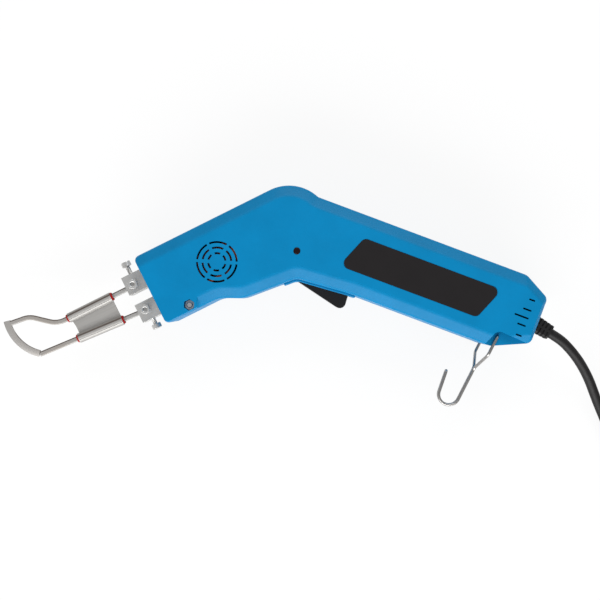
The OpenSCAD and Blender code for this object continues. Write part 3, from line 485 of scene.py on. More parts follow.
def hexRadius(flats):
    return lambda a: flats / 2 / math.cos(a % (math.pi / 3) - math.pi / 6)


# straight solid over a plan in mm, between two heights
def prism(points, low, high):
    return skinned([[Vector((p[0], p[1], z)) * mm for p in points] for z in (low, high)])


def disc(at, r, count=32):
    return [(at.x + r * math.cos(a), at.y + r * math.sin(a)) for a in roundTurn(count)]


def curveThrough(name, points, radius, roundness=4):
    curve = bpy.data.curves.new(name, "CURVE")
    curve.dimensions, curve.bevel_depth, curve.bevel_resolution = "3D", radius, roundness
    curve.use_fill_caps = True
    spline = curve.splines.new("POLY")
    spline.points.add(len(points) - 1)
    for at, p in zip(spline.points, points):
        at.co = (*p, 1)
    spline.use_smooth = True
    return curve


# mains cord: lead out of the grip, coil put away beside the view, tail to the plug; it starts inside the grip
cordSet = {
    "diameter": 0.006, "inside": (29, 12), "exit": (149.895, -56.502), "steps": 3,
    "coilAt": (106.6, -90), "coilRadius": 49.5, "coilStep": 6.8, "coilTurns": 8.5, "perTurn": 36,
    "climbFrom": 4, "low": 4.3, "high": 11.1,
    # steps from the exit, with the height over the floor
    "lead": [(0, 0, 23), (10.3, -6.2, 23), (18.1, -11.3, 22), (24.1, -16.9, 20), (29.6, -23.1, 17), (34.6, -29.9, 13.5),
             (38.7, -36.9, 10.5), (42.1, -44.1, 8), (45.5, -51.5, 6), (49.1, -59.5, 4.8), (52.5, -67.9, 4.3),
             (55.3, -76.5, 4.3), (56.7, -83.5, 4.3), (57.1, -89.5, 4.3)],
    "tail": [(156.1, -89.5, 11.1), (156.1, -82.5, 11.1), (156.1, -73.5, 11.1), (156.1, -64.5, 10.7),
             (156.1, -54.5, 9.4), (156.1, -44.5, 8.4), (156.1, -33.5, 8), (156.1, -27.5, 8)],
}


def fromExit(x, y):
    return cordSet["exit"][0] + x, cordSet["exit"][1] + y


def stepped(p):
    return Vector((*fromExit(p[0], p[1]), p[2])) * mm


def coilPoint(n):
    c = cordSet
    r = c["coilRadius"] - c["coilStep"] * min(n, c["coilTurns"] - n)
    a = math.radians(180 + 360 * n)
    z = c["low"] + (c["high"] - c["low"]) * min(1, max(0, 2 * (n - c["climbFrom"])))
    return stepped((c["coilAt"][0] + r * math.cos(a), c["coilAt"][1] + r * math.sin(a), z))


def cordLine():
    c = cordSet
    lead = [reliefPoint(-back, 0) for back in c["inside"]] + [stepped(p) for p in c["lead"]]
    count = int(c["coilTurns"] * c["perTurn"])
    coil = [coilPoint(k / c["perTurn"]) for k in range(count + 1)]
    return softened(lead, c["steps"]) + coil + softened([stepped(p) for p in c["tail"]], c["steps"])


route = cordLine()
mainsCord = keep("mainsCord", curveThrough("mainsCord", route, cordSet["diameter"] / 2), "housing", "black_rubber",
                 blackRubber, "cord_lead", "cord_coil", "cord_tail")

# shells: outline corners in mm with their radii, and the share of the edge's width along the side after each;
# the edge is a sloped band with a small round at both ends, as pairs of inset and drop from the face
housingSet = {
    "barrel": [(85.2, 21.5), (85.2, -21.5), (51, -21.5), (38.7, -27.9), (5.8, -31.3)],
    "grip": [(52, -23), (138, -23), (159.3, -13.4), (159.3, 14.6), (143.6, 23), (14.3, 23)],
    "radii": [3, 3, 14, 14, 8, 60, 6, 4, 4, 6, 4], "least": 0.4, "perStep": 4, "fewest": 4,
    "fall": -40, "humpShare": 0.92,  # the top's last side falls at this angle to a wide round at the hump
    "shares": [0.12, 1, 1, 1, 1, 1, 0.8, 0.4, 0.8, 1, 1, 1],
    "pad": (64.5, 61.8),  # the face stays flat round the nut up to here, and has its full edge from there
    "outer": [(0.2, 23), (0, 22.75), (0, 5.2), (0.1, 4.5), (0.4, 3.85), (0.9, 3.3), (1.6, 2.85), (5.17, 0.72),
              (5.79, 0.4), (6.46, 0.17), (7.11, 0.04), (7.77, 0)],
    "inner": [(7.2, 2.6), (4.2, 4.2), (2.6, 6.8), (2.6, 23)],
}


def housingOutline():
    h = housingSet
    corners = [plan(barrelPoint(*p)) for p in h["barrel"]] + [plan(gripPoint(*p)) for p in h["grip"]]
    nose, kink = corners[0], corners[-1]
    rise, fall = (Vector(turned(1, 0, turn)) for turn in (barrelTurn, h["fall"]))
    hump = nose + rise * (kink - nose).cross(fall) / rise.cross(fall)
    wide = h["humpShare"] * (hump - kink).length / math.tan(math.radians((barrelTurn - h["fall"]) / 2))
    return corners + [hump], h["radii"] + [wide]


housingCorners, housingRadii = housingOutline()


def housingRing(inset, z, even=False):
    h, p, ring = housingSet, housingCorners, []
    for i, corner in enumerate(p):
        e, f = (corner - p[i - 1]).normalized(), (p[(i + 1) % len(p)] - corner).normalized()
        sides = (0, 0) if i == 1 else (i - 1, i)  # the front's narrow edge goes on below, as far as the pad
        before, after = (inset * (1 if even else h["shares"][k]) for k in sides)
        at = corner + (f * before - e * after) / e.cross(f)
        turn, grow = e.angle(f), (before + after) / 2
        r = max(housingRadii[i] - grow, h["least"]) if e.cross(f) > 0 else housingRadii[i] + grow
        g = (f - e * e.dot(f)).normalized()
        start, steps = at - e * r * math.tan(turn / 2), max(h["fewest"], round(math.degrees(turn) / h["perStep"]))
        for a in (turn * k / steps for k in range(steps + 1)):
            q = start + e * r * math.sin(a) + g * r * (1 - math.cos(a))
            ring.append(Vector((q.x, q.y, z)) * mm)
        if i == 1:
            ring += [barrelPoint(u, h["barrel"][1][1] + d, z) for u, d in zip(h["pad"], (after, inset))]
    return ring


# round vent of curved slots over the windings, and straight slots at the rear, in mm
ventSet = {"at": (42.6, -2.5), "rings": [(11.4, 52), (8.25, 46), (5, 37)], "count": 6, "half": 0.57, "steps": 10,
           "slots": [(10, 2.7), (3.9, 4.2), (-0.8, 7.7), (-5.4, 4.3), (-11.6, 2.9)], "slotEnd": 151.7, "slotHalf": 0.5,
           "from": 19}


def ventPlans():
    v = ventSet
    middle = plan(barrelPoint(*v["at"]))
    for radius, span in v["rings"]:
        for k in range(v["count"]):
            start = barrelTurn + 360 / v["count"] * k - span / 2
            angles = [math.radians(start + span * j / v["steps"]) for j in range(v["steps"] + 1)]
            ways = [Vector((math.cos(a), math.sin(a))) for a in angles]
            yield ([middle + w * (radius - v["half"]) for w in reversed(ways)]
                   + [middle + w * (radius + v["half"]) for w in ways])


def rearSlotPlans():
    v = ventSet
    halfTurn = [30 * k for k in range(7)]
    for t, length in v["slots"]:
        ends = [(v["slotEnd"] - length, 90), (v["slotEnd"], -90)]
        rim = [(s, math.radians(turn + more)) for s, turn in ends for more in halfTurn]
        yield [plan(gripPoint(s + v["slotHalf"] * math.cos(a), t + v["slotHalf"] * math.sin(a))) for s, a in rim]


# label: its corners in the grip's frame, and the seat that the left shell has for it
labelSet = {"corners": [(39.5, -10.2), (123.93, -10.2), (131.93, 9.5), (47.5, 9.5)], "radius": 3.5, "arm": 20,
            "steps": 10, "play": 0.2, "seat": 22.8}


def labelPlan(out):
    s = labelSet
    p = [Vector(q) for q in s["corners"]]
    ring = []
    for i in range(4):
        e, f = (p[i] - p[i - 1]).normalized(), (p[(i + 1) % 4] - p[i]).normalized()
        at = p[i] + (f - e).normalized() * -out / math.cos(e.angle(f) / 2)
        arc = bentLine([at - e * s["arm"], at, at + f * s["arm"]], [s["radius"]], s["steps"])[1:-1]
        ring += [plan(gripPoint(*q)) for q in arc]
    return ring


# what the shells gain and lose, in mm, with heights above the plane between them
shellSet = {
    "past": 24, "under": -1,  # cuts run past the face and under the middle plane
    "edge": 0.0002, "sharp": 50, "sides": 40,
    "heel": [(125.5, -21.6), (137.6, -21.6), (151.5, -15.4), (151.5, -4.5), (125.5, -10.5)], "heelLevels": (13.9, 18.4),
    "boltAt": (68, -17.5), "post": 4.6, "postLow": -20.2, "postLevels": (8, 20.6), "pocket": 2.9,
    "lensAt": (9, -15), "lensBore": 2.05, "boreFrom": 17,
    "trigger": [(-4.6, -15.3), (33.8, -15.3), (33.8, -1.4), (-4.6, -1.4)], "triggerHalf": 7.1,
    "tang": [(86.2, -2.6), (81.6, -2.6), (81.6, 2.6), (86.2, 2.6)], "tangAt": (8.1, -6.7), "tangHalf": 4.7,
    "hookAt": (139.8, -16.1), "hookBore": 2.6, "hookFrom": 18.3, "fan": 24, "fanTurns": (142, 232, 284, 336, 426),
    "fanRoot": 3, "neck": (-9, 6), "neckRadius": 5.05, "screwHead": 3, "screwFrom": 20,
    "barrelScrews": [(72.42, 16.6), (-8.01, 11.61)], "gripScrews": [(70.09, 16.1), (100.36, -16.1), (146.08, -9.98)],
}
hookPivot = plan(gripPoint(*shellSet["hookAt"]))


def hookFan():
    s = shellSet
    first, low, middle, high, last = s["fanTurns"]
    a, b = (hookPivot + Vector(turned(s["fanRoot"], 0, turn)) for turn in (first, last))
    far = [p + Vector(turned(s["fan"], 0, turn)) for p, turn in ((a, low), (hookPivot, middle), (b, high))]
    return [a, *far, b]


def sharedGains():
    s = shellSet
    heel = [plan(gripPoint(*p)) for p in s["heel"]]
    u, v = s["boltAt"]
    post = [(u + s["post"] * math.cos(a), max(v + s["post"] * math.sin(a), s["postLow"]))
            for a in roundTurn(s["sides"])]
    return [(heel, *s["heelLevels"]), ([plan(barrelPoint(*p)) for p in reversed(post)], *s["postLevels"])]


def sharedCuts():
    s = shellSet
    slot = [plan(triggerPoint(*p)) for p in s["trigger"]]
    tangs = [[plan(barrelPoint(u, v + y)) for u, v in s["tang"]] for y in s["tangAt"]]
    return ([(slot, s["under"], s["triggerHalf"])] + [(p, s["under"], s["tangHalf"]) for p in tangs]
            + [(disc(hookPivot, s["hookBore"]), s["hookFrom"])])


def leftCuts():
    s = shellSet
    u, v = s["boltAt"]
    r = s["pocket"] / math.cos(math.radians(30))
    pocket = [plan(barrelPoint(u + r * math.cos(a), v + r * math.sin(a))) for a in roundTurn(6)]
    return [(pocket[::-1], s["boreFrom"]), (disc(Vector(s["lensAt"]), s["lensBore"]), s["boreFrom"]),
            (labelPlan(labelSet["play"]), labelSet["seat"])]


def rightCuts():
    s = shellSet
    places = [barrelPoint(*p) for p in s["barrelScrews"]] + [gripPoint(*p) for p in s["gripScrews"]]
    places.append(barrelPoint(*s["boltAt"]))
    return [(disc(plan(p), s["screwHead"]), s["screwFrom"]) for p in places]


# boolean work on throwaway objects; each step is a list of skins that don't touch one another
def carved(name, skin, *steps):
    work = [bpy.data.objects.new(name, gathered(name, skin))]
    for kind, skins in steps:
        if kind == "BEVEL":
            eased(work[0], skins, angle=shellSet["sharp"], flats=False)
            continue
        work.append(bpy.data.objects.new(name + kind, gathered(name + kind, *skins)))
        m = work[0].modifiers.new(kind, "BOOLEAN")
        m.operation, m.object, m.solver = kind, work[-1], "EXACT"
        m.use_self = "ease" in work[0].modifiers  # rounded edges can cross in tight places
    for piece in work:
        scene.collection.objects.link(piece)
    bpy.context.view_layer.update()
    mesh = bpy.data.meshes.new_from_object(work[0].evaluated_get(bpy.context.evaluated_depsgraph_get()))
    for piece in work:
        bpy.data.objects.remove(piece)
    tidy = bmesh.new()
    tidy.from_mesh(mesh)
    bmesh.ops.remove_doubles(tidy, verts=tidy.verts, dist=weldReach)
    bmesh.ops.dissolve_degenerate(tidy, edges=tidy.edges, dist=weldReach)
    tidy.to_mesh(mesh)
    tidy.free()
    return mesh


def halfShell(name, node, side):
    h, s = housingSet, shellSet

    def level(z):
        return midHeight + side * z

    def made(shape, low, high=s["past"]):
        return prism(shape, *sorted((level(low), level(high))))

    rings = [housingRing(d, level(midHeight - drop), True) for d, drop in h["inner"]]
    rings += [housingRing(d, level(midHeight - drop)) for d, drop in h["outer"]]
    gains = [made(*g) for g in sharedGains()]
    cuts = [made(*c) for c in sharedCuts()]
    cuts.append(skinned(tubeRings([reliefPoint(x, 0) for x in s["neck"]], s["neckRadius"] * mm, s["sides"])))
    cuts += [made(*c) for c in (leftCuts() if side > 0 else rightCuts())]
    fan = [made(hookFan(), s["hookFrom"])]
    vents = [made(p, ventSet["from"]) for p in (*ventPlans(), *rearSlotPlans())]
    mesh = carved(name, skinned(flipped(rings, side < 0)), ("UNION", gains), ("DIFFERENCE", cuts), ("DIFFERENCE", fan),
                  ("BEVEL", s["edge"]), ("DIFFERENCE", vents))
    flattened(crisp(keep(name, mesh, "housing", "blue_plastic", bluePlastic, node), s["sharp"]))


halfShell("leftShell", "left_shell", 1)
halfShell("rightShell", "right_shell", -1)
traced("labelPlate", "label_plate", "housing", "label_black", labelFilm)

# lip round the trigger's opening: two ribs along the underside and one across each end, in mm
lipSet = {"stops": (1.2, 43.4), "inside": 7.2, "outside": 10.6, "high": 1.3, "root": -1.2, "ease": 0.35, "across": 1.4,
          "edge": 0.00012, "steps": 12}


def lipLine():
    h, (start, stop) = housingSet, lipSet["stops"]
    stepEnd, elbow = (barrelPoint(*p, 0) / mm for p in h["barrel"][3:])
    bend, heel = (gripPoint(*p, 0) / mm for p in h["grip"][:2])
    first = elbow.lerp(stepEnd, (elbow.x - start) / (elbow.x - stepEnd.x))
    last = bend.lerp(heel, (stop - bend.x) / (heel.x - bend.x))
    line = bentLine([first, elbow, bend, last], h["radii"][4:6], lipSet["steps"])
    return [(p, Vector((w.y, -w.x, 0)), w) for p, w in zip(line, waysAlong(line))]


def lipRib(side):
    s = lipSet
    shape = [(s["inside"], s["root"]), (s["outside"], s["root"]), (s["outside"], s["high"] - s["ease"]),
             (s["outside"] - s["ease"], s["high"]), (s["inside"] + s["ease"], s["high"]),
             (s["inside"], s["high"] - s["ease"])]
    rings = [[(p + out * h + Vector((0, 0, midHeight + side * z))) * mm for z, h in shape] for p, out, way in lipLine()]
    return skinned(flipped(rings, side < 0))


def lipEnd(index, way):
    s = lipSet
    p, out, forward = lipLine()[index]
    shape = [(0, s["root"]), (s["across"], s["root"]), (s["across"], s["high"]), (0, s["high"])]
    half = s["outside"] - s["ease"]
    rings = [[(p + forward * way * x + out * h + Vector((0, 0, midHeight + z))) * mm for x, h in shape]
             for z in (way * half, -way * half)]
    return skinned(rings)


lip = keep("triggerLip", gathered("triggerLip", lipRib(1), lipRib(-1), lipEnd(0, 1), lipEnd(-1, -1)),
           "housing", "blue_plastic", bluePlastic)
eased(lip, lipSet["edge"])
print("housing dressed")

# front end
for name, node in (("upperTerminal", "terminal_upper"), ("lowerTerminal", "terminal_lower")):
    traced(name, node, "housing", "nickel", nickelPlate)
traced("frontBoard", "front_insulator", "housing", "insulator_tan", fibreBoard)

# clamp screws: knurled heads with hex sockets on threaded shanks, in mm; tip, foot and rim are heights with radii
screwSet = {"sides": 60, "head": 2.8, "high": 3, "knurl": 0.04, "knurls": 30, "socket": 2.5, "sink": 0.2, "deep": 1.6,
            "shank": 1.45, "pitch": 0.7, "groove": 0.28, "perTurn": 6, "thread": (0.4, 0.9),
            "tip": [(0, 0.8), (0.35, 1.15)], "foot": [(-0.3, 1.2), (0, 1.25), (0, 2.4)],
            "flank": (0.2, 0.35, 2.55, 2.7), "rim": [(2.9, 2.72), (3, 2.5), (3, 1.62)], "at": 93.4,
            "edge": [(20.65, 1, 10.25), (-17.55, -1, 8.08)], "face": [8.7, -7.77], "faceHeight": 33, "faceShank": 8.8}
alongBarrel = barrelPoint(-1, 0, 0)


def capScrew(length, place, out):
    s = screwSet
    socket = hexRadius(s["socket"])
    first, spare = s["thread"]
    bottom, knurlLow, knurlHigh, top = s["flank"]

    def knurled(a):
        return s["head"] + s["knurl"] * math.cos(s["knurls"] * a)

    def threadAt(z):
        return lambda a: s["shank"] - s["groove"] * abs(2 * ((z / s["pitch"] - a / (2 * math.pi)) % 1) - 1)

    steps = int((length - spare) / s["pitch"] * s["perTurn"])
    rows = [(z - length, r) for z, r in s["tip"]]
    rows += [(z, threadAt(z)) for z in (first - length + k * s["pitch"] / s["perTurn"] for k in range(steps))]
    rows += s["foot"] + [(bottom, s["head"]), (knurlLow, knurled), (knurlHigh, knurled), (top, s["head"])] + s["rim"]
    rows += [(s["high"] - s["sink"], socket), (s["high"] - s["deep"], socket)]
    return skinned(standing(ringsAbout(rows, s["sides"]), place, out, alongBarrel))


edgeScrews = [capScrew(length, barrelPoint(screwSet["at"], v), barrelPoint(0, way, 0))
              for v, way, length in screwSet["edge"]]
faceScrews = [capScrew(screwSet["faceShank"], barrelPoint(screwSet["at"], v, screwSet["faceHeight"]), upward)
              for v in screwSet["face"]]
crisp(keep("edgeScrews", gathered("edgeScrews", *edgeScrews), "housing", "nickel", nickelPlate, "edge_clamp_screws"))
crisp(keep("faceScrews", gathered("faceScrews", *faceScrews), "housing", "nickel", nickelPlate, "face_clamp_screws"))

# blade: two round-edged legs and a foot with a bevelled outer edge, in mm; legs count from the terminals' front
bladeSet = {"front": 99, "legs": [(8.7, 0), (-7.4, 3.8)],  # each leg's distance from the middle line, and its slope
            "half": (1.5, 1), "fullness": 4, "sides": 32, "upper": [(-10.8, 0), (47, 0), (60.5, 11.3), (73, 12.8)],
            "bends": (14, 12), "bendSteps": 14, "lower": (-10.8, 64.66), "footAt": (146.7, 17.9), "from": 167.5,
            "sweep": 62.9, "reach": 28.6, "wide": 4, "bevel": 1.8, "blunt": 0.1, "steps": 40, "ease": 0.00015,
            "sharp": 40}


def legPlace(leg, reach):  # along a leg from the front of the terminals
    v, slope = leg
    du, dv = turned(reach, 0, slope)
    return bladeSet["front"] + du, v + dv


def legRings(path):
    s = bladeSet
    shape = []
    for a in roundTurn(s["sides"]):
        waves = zip(s["half"], (math.cos(a), math.sin(a)))
        shape.append([h * math.copysign(abs(c) ** (2 / s["fullness"]), c) for h, c in waves])
    return [[p + (Vector((way.y, -way.x, 0)) * x + Vector((0, 0, z))) * mm for x, z in shape]
            for p, way in zip(path, waysAlong(path))]


def upperLegLine():
    s = bladeSet
    corners = [Vector((s["front"] + u, s["legs"][0][0] + v, 0)) for u, v in s["upper"]]
    return [barrelPoint(p.x, p.y) for p in bentLine(corners, s["bends"], s["bendSteps"])]


def lowerLegLine():
    return [barrelPoint(*legPlace(bladeSet["legs"][1], reach)) for reach in bladeSet["lower"]]


def footRings():
    s = bladeSet
    r, half, blunt = s["reach"], s["half"][1], s["blunt"]
    root, edge = r - s["wide"], r - s["bevel"]
    shape = [(root, -half), (edge, -half), (r, -blunt), (r, blunt), (edge, half), (root, half)]
    u, v = s["footAt"]
    rings = []
    for k in range(s["steps"] + 1):
        a = math.radians(s["from"] + s["sweep"] * k / s["steps"])
        rings.append([barrelPoint(u - x * math.cos(a), v + x * math.sin(a), midHeight + z) for x, z in shape])
    return rings


bladeLegs = [skinned(legRings(line)) for line in (upperLegLine(), lowerLegLine())]
bladeMesh = carved("heatBlade", skinned(footRings()), ("UNION", bladeLegs))
heatBlade = keep("heatBlade", bladeMesh, "housing", "blade_steel", bladeSteel, "blade")
crisp(eased(heatBlade, bladeSet["ease"]), bladeSet["sharp"])

# shield: a sheet rolled round both legs, its edges showing as seams; lengths along the legs in mm
shieldSet = {"from": 110, "long": 28.5, "tube": 3.1, "step": 0.28, "bore": 2.5, "seam": 117, "plate": 0.4, "sides": 60,
             "bow": (25.6, 27.3, 0.7), "bowSteps": 16, "ease": 0.1, "rim": 0.968, "sharp": 30}


def rolledTube(leg):
    s = shieldSet
    start, end = (barrelPoint(*legPlace(leg, s["from"] - bladeSet["front"] + k * s["long"])) for k in (0, 1))
    way = (end - start).normalized()
    across = Vector((way.y, -way.x, 0))
    if across.y < 0:
        across.negate()

    def around(share, radius):
        a = math.radians(s["seam"]) + 2 * math.pi * share
        return (across * math.cos(a) + upward * math.sin(a)) * radius * mm

    steps = [k / s["sides"] for k in range(s["sides"] + 1)]
    outer = [around(x, s["tube"] - s["step"] * x) for x in steps]  # a step is left where the sheet overlaps
    inner = [around(k / len(steps), s["bore"]) for k in range(len(steps))]
    ease = way * s["ease"] * mm
    rows = [(start, inner, 1), (end, inner, 1), (end, outer, s["rim"]), (end - ease, outer, 1),
            (start + ease, outer, 1), (start, outer, s["rim"])]
    return skinned([[at + p * k for p in ring] for at, ring, k in rows], loop=True)


def shieldPlate():
    s = shieldSet
    first, last = s["from"], s["from"] + s["long"]
    reach, bow, bowAt = s["bow"]
    top = bladeSet["legs"][0][0]
    lowFirst, lowLast = (legPlace(bladeSet["legs"][1], u - bladeSet["front"])[1] for u in (first, last))
    heights = [top + (lowLast - top) * k / s["bowSteps"] for k in range(s["bowSteps"] + 1)]
    front = [(last + reach - math.sqrt(bow ** 2 - (v - bowAt) ** 2), v) for v in heights]
    shape = [plan(barrelPoint(*p)) for p in [(first, lowFirst), (first, top)] + front]
    return prism(shape, midHeight - s["plate"], midHeight + s["plate"])


shieldMesh = gathered("shield", *[rolledTube(leg) for leg in bladeSet["legs"]], shieldPlate())
crisp(keep("shield", shieldMesh, "housing", "stainless", stainlessSheet, "blade_shield"), shieldSet["sharp"])
traced("upperSleeve", "sleeve_upper", "housing", "sleeve_red", redSleeve)
traced("lowerSleeve", "sleeve_lower", "housing", "sleeve_red", redSleeve)
traced("caseScrews", "housing_screws", "housing", "screw_steel", zincSteel)
traced("throughBolt", "through_bolt", "housing", "screw_steel", zincSteel)
print("front end dressed")

# nut with the corners of both faces turned down and a countersunk bore, in mm
nutSet = {"flats": 5.5, "high": 2.4, "bore": 1.5, "sink": (1.8, 0.3), "face": 2.6, "corner": 2.95, "turned": (0.2, 0.4),
          "level": 40, "sides": 48, "sharp": 25}


def nutRings():
    s = nutSet
    flats, (part, full) = hexRadius(s["flats"]), s["turned"]

    def cornered(a):
        return min(flats(a), s["corner"])

    rows = [(0, s["bore"]), (0, s["face"]), (part, cornered), (full, flats), (s["high"] - full, flats),
            (s["high"] - part, cornered), (s["high"], s["face"]), (s["high"], s["sink"][0]),
            (s["high"] - s["sink"][1], s["bore"])]
    return standing(ringsAbout(rows, s["sides"]), barrelPoint(*shellSet["boltAt"], s["level"]), upward, alongBarrel)


nutMesh = gathered("hexNut", skinned(nutRings(), loop=True))
crisp(keep("hexNut", nutMesh, "housing", "screw_steel", zincSteel, "through_nut"), nutSet["sharp"])
traced("lampLens", "indicator_lens", "housing", "lens_red", redLens)
traced("triggerLever", "trigger", "trigger", "black_plastic", blackPlastic)

# hook: one drawn wire from pin to pin, doubled in the shank and the bend, in mm
hookSet = {"rest": 243, "wire": 0.9, "level": 19.4, "pin": 12.4, "leg": 12.5, "join": 22.1, "bends": (1.2, 3, 4),
           "cornerSteps": 10, "half": 1, "reach": 43.3, "bend": 6.2, "turn": 172, "bendSteps": 36, "tip": 12,
           "tipSteps": 8, "sides": 14}


def hookLine():
    h = hookSet
    corners = [(0, 0, h["pin"]), (0, 0, h["level"]), (h["leg"], 0, h["level"]), (h["join"], 0, h["half"]),
               (h["reach"], 0, h["half"])]
    line = bentLine([Vector(p) for p in corners], h["bends"], h["cornerSteps"])
    turn = math.radians(h["turn"])
    for a in (turn * k / h["bendSteps"] for k in range(1, h["bendSteps"] + 1)):
        line.append(Vector((h["reach"] + h["bend"] * math.sin(a), -h["bend"] * (1 - math.cos(a)), h["half"])))
    way = Vector((math.cos(turn), -math.sin(turn), 0))
    end = line[-1] + way * h["tip"]
    middle = h["tipSteps"] // 2
    nose = [end + way * h["half"] * math.sin(a) - upward * h["half"] * (1 - math.cos(a))
            for a in (math.pi * k / h["tipSteps"] for k in range(middle + 1))]
    side = line + nose[:-1]
    return side + [nose[-1]] + [Vector((p.x, p.y, -p.z)) for p in reversed(side)]


hookRings = tubeRings(hookLine(), hookSet["wire"], hookSet["sides"], Vector((0, 1, 0)))
hookRings = standing(hookRings, gripPoint(*shellSet["hookAt"]), upward, Vector((*turned(1, 0, hookSet["rest"]), 0)))
keep("wireHook", gathered("wireHook", skinned(hookRings)), "hook", "wire_steel", wireSteel, "hanging_hook")
relief = traced("strainSleeve", "strain_relief", "housing", "black_rubber", blackRubber)
tie = traced("cordTie", "cable_tie", "housing", "black_plastic", blackPlastic)
plug = traced("plugBody", "plug_body", "housing", "black_rubber", blackRubber)
blades = traced("plugBlades", "plug_pins", "housing", "nickel", nickelPlate)

# grip ribs from the plug's cord hole on, and the tie's head with its cut tail from the coil's middle on;
# each bar is half its width, its two ends and its two heights, in mm
ribSet = {"bars": [(7, (y - 0.8, y + 0.8), (15, 16.7)) for y in (14, 18, 22, 26)], "ease": 0.0005, "steps": 3}
tieSet = {"bars": [(3.6, (31, 37), (14.8, 18.6)), (1, (32, 36), (14.8, 18.9)), (2.3, (36.5, 44), (15.6, 16.5))],
          "ease": 0.0004, "steps": 3}


def barred(name, at, settings, slot, material):
    x, y = at
    skins = [prism([(x - half, y + near), (x + half, y + near), (x + half, y + far), (x - half, y + far)], *heights)
             for half, (near, far), heights in settings["bars"]]
    return eased(keep(name, gathered(name, *skins), "housing", slot, material), settings["ease"], settings["steps"])


ribs = barred("plugRibs", fromExit(*cordSet["tail"][-1][:2]), ribSet, "black_rubber", blackRubber)
tieHead = barred("tieHead", fromExit(*cordSet["coilAt"]), tieSet, "black_plastic", blackPlastic)
print("hook, plug and tie dressed")

# winding: one wire in rounded turns along the bobbin, in mm from the middle of the core
windSet = {"at": (43, 0.7), "turns": 12, "pitch": 1.9, "wire": 0.7, "halfWidth": 9.05, "halfHeight": 12.554,
           "corner": 3, "steps": 8}


def windingLine():
    w = windSet
    loop = [Vector((0, y * w["halfWidth"], z * w["halfHeight"])) for y, z in ((1, 1), (-1, 1), (-1, -1), (1, -1))]
    turn = []
    for k in range(4):
        turn += bentLine([loop[k - 1], loop[k], loop[(k + 1) % 4]], [w["corner"]], w["steps"])[1:-1]
    places = [k / len(turn) - w["turns"] / 2 for k in range(w["turns"] * len(turn) + 1)]
    line = [turn[k % len(turn)] + Vector((place * w["pitch"], 0, 0)) for k, place in enumerate(places)]
    return standing([line], barrelPoint(*w["at"]), upward, alongBarrel)[0]


keep("windingWire", curveThrough("windingWire", windingLine(), windSet["wire"] * mm), "housing", "copper", copperWire,
     "outer_winding")

# wires inside the grip, through given points
wireSet = {
    "radius": 1.1, "steps": 8,
    "live": [reliefPoint(-31.6, 0, 25), gripPoint(117.56, 5.5, 25), gripPoint(95.58, 1.5, 25), gripPoint(72, -4, 25),
             triggerPoint(36.5, 10.9, 25)],
    "neutral": [reliefPoint(-31.6, 0, 21.4), gripPoint(108.96, 5.5, 21.4), gripPoint(63.24, 7.7, 25),
                gripPoint(25.49, 6.3, 33), gripPoint(-4.62, -4.9, 36), barrelPoint(27.9, 2.7, 36)],
    "switched": [triggerPoint(7.5, 14, 25), gripPoint(14.02, -3.3, 30), gripPoint(-0.24, -10.8, 35),
                 barrelPoint(27.9, -4.2, 36)],
}
for name, slot, material in (("live", "wire_brown", brownWire), ("neutral", "wire_blue", blueWire),
                             ("switched", "black_rubber", blackRubber)):
    wire = curveThrough(name + "Wire", softened(wireSet[name], wireSet["steps"]), wireSet["radius"] * mm)
    keep(name + "Wire", wire, "housing", slot, material, name + "_wire")

# what else is inside the housing keeps its CAD shape
insideFinishes = {
    "indicator_lamp": lampGlass, "transformer_core": coreIron, "transformer_bobbin": creamPlastic,
    "inner_winding": copperWire, "secondary_loop": copperWire,
    "switch_body": blackPlastic, "switch_plunger": creamPlastic, "trigger_pin": zincSteel,
    "cord_clamp": blackPlastic, "cord_clamp_screws": zincSteel,
}
for node, material in insideFinishes.items():
    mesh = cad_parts[node].data
    mesh.materials.clear()
    mesh.materials.append(material)
print("inside finished")

# floor and light
stageSet = {"floor": 3.0, "drop": 0.0002, "white": 0.8, "show": 0.86, "dimReach": 0.016, "world": 0.44,
            "aim": (0, -0.04, 0.02),
            "key": {"at": (-0.1, -1.25, 0.7), "size": (2.0, 0.6), "power": 31},
            "fill": {"at": (0.2, 1.2, 0.9), "size": (1.4, 1.0), "power": 17}}


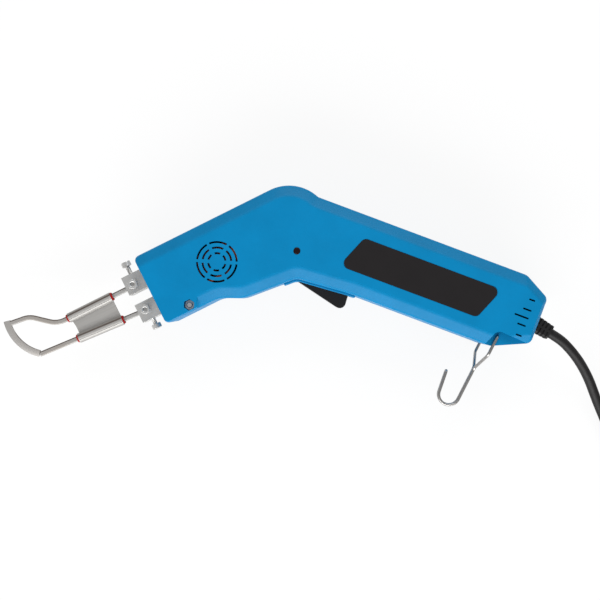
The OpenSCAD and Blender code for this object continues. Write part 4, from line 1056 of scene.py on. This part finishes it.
def stageFinish():
    s = stageSet
    f = Finish("paleFloor")
    f.tree.nodes.remove(f.shader)
    ray = f.add("ShaderNodeLightPath").outputs
    seen = f.calc("MAXIMUM", ray["Is Camera Ray"], ray["Is Glossy Ray"])
    seen = f.calc("MAXIMUM", seen, ray["Is Transmission Ray"])
    # no glow through the vents: the floor under them lies in the tool's own shadow
    away = f.add("ShaderNodeVectorMath", operation="DISTANCE")
    f.feed((f.coords.outputs["Object"], barrelPoint(*ventSet["at"], 0)), away.inputs)
    clear = f.calc("GREATER_THAN", away.outputs["Value"], s["dimReach"])
    share = f.calc("MULTIPLY", clear, f.calc("MULTIPLY", seen, s["show"]))
    matt = f.add("ShaderNodeBsdfDiffuse", Color=(s["white"], s["white"], s["white"], 1))
    glow, mix = f.add("ShaderNodeEmission"), f.add("ShaderNodeMixShader")
    f.feed((share, matt.outputs[0], glow.outputs[0]), mix.inputs)
    f.link(mix.outputs[0], f.tree.nodes["Material Output"].inputs["Surface"])
    return f.material


floorPlan = [(x * stageSet["floor"], y * stageSet["floor"], 0) for x, y in ((-1, -1), (1, -1), (1, 1), (-1, 1))]
floorMesh = meshFrom("floor", floorPlan, [(0, 1, 2, 3)])
floor = bpy.data.objects.new("floor", floorMesh)
floor.location.z = -stageSet["drop"]
scene.collection.objects.link(floor)
floorMesh.materials.append(stageFinish())

for name in ("key", "fill"):
    lampSet = stageSet[name]
    lamp = bpy.data.lights.new(name, "AREA")
    lamp.shape, lamp.energy = "RECTANGLE", lampSet["power"]
    lamp.size, lamp.size_y = lampSet["size"]
    lampObject = bpy.data.objects.new(name, lamp)
    lampObject.location = lampSet["at"]
    aim = Vector(stageSet["aim"]) - Vector(lampSet["at"])
    lampObject.rotation_euler = aim.to_track_quat("-Z", "Y").to_euler()
    scene.collection.objects.link(lampObject)
world = bpy.data.worlds.new("studio")
scene.world = world
world.use_nodes = True
world.node_tree.nodes["Background"].inputs["Color"].default_value = (1, 1, 1, 1)
world.node_tree.nodes["Background"].inputs["Strength"].default_value = stageSet["world"]
print("stage lit")
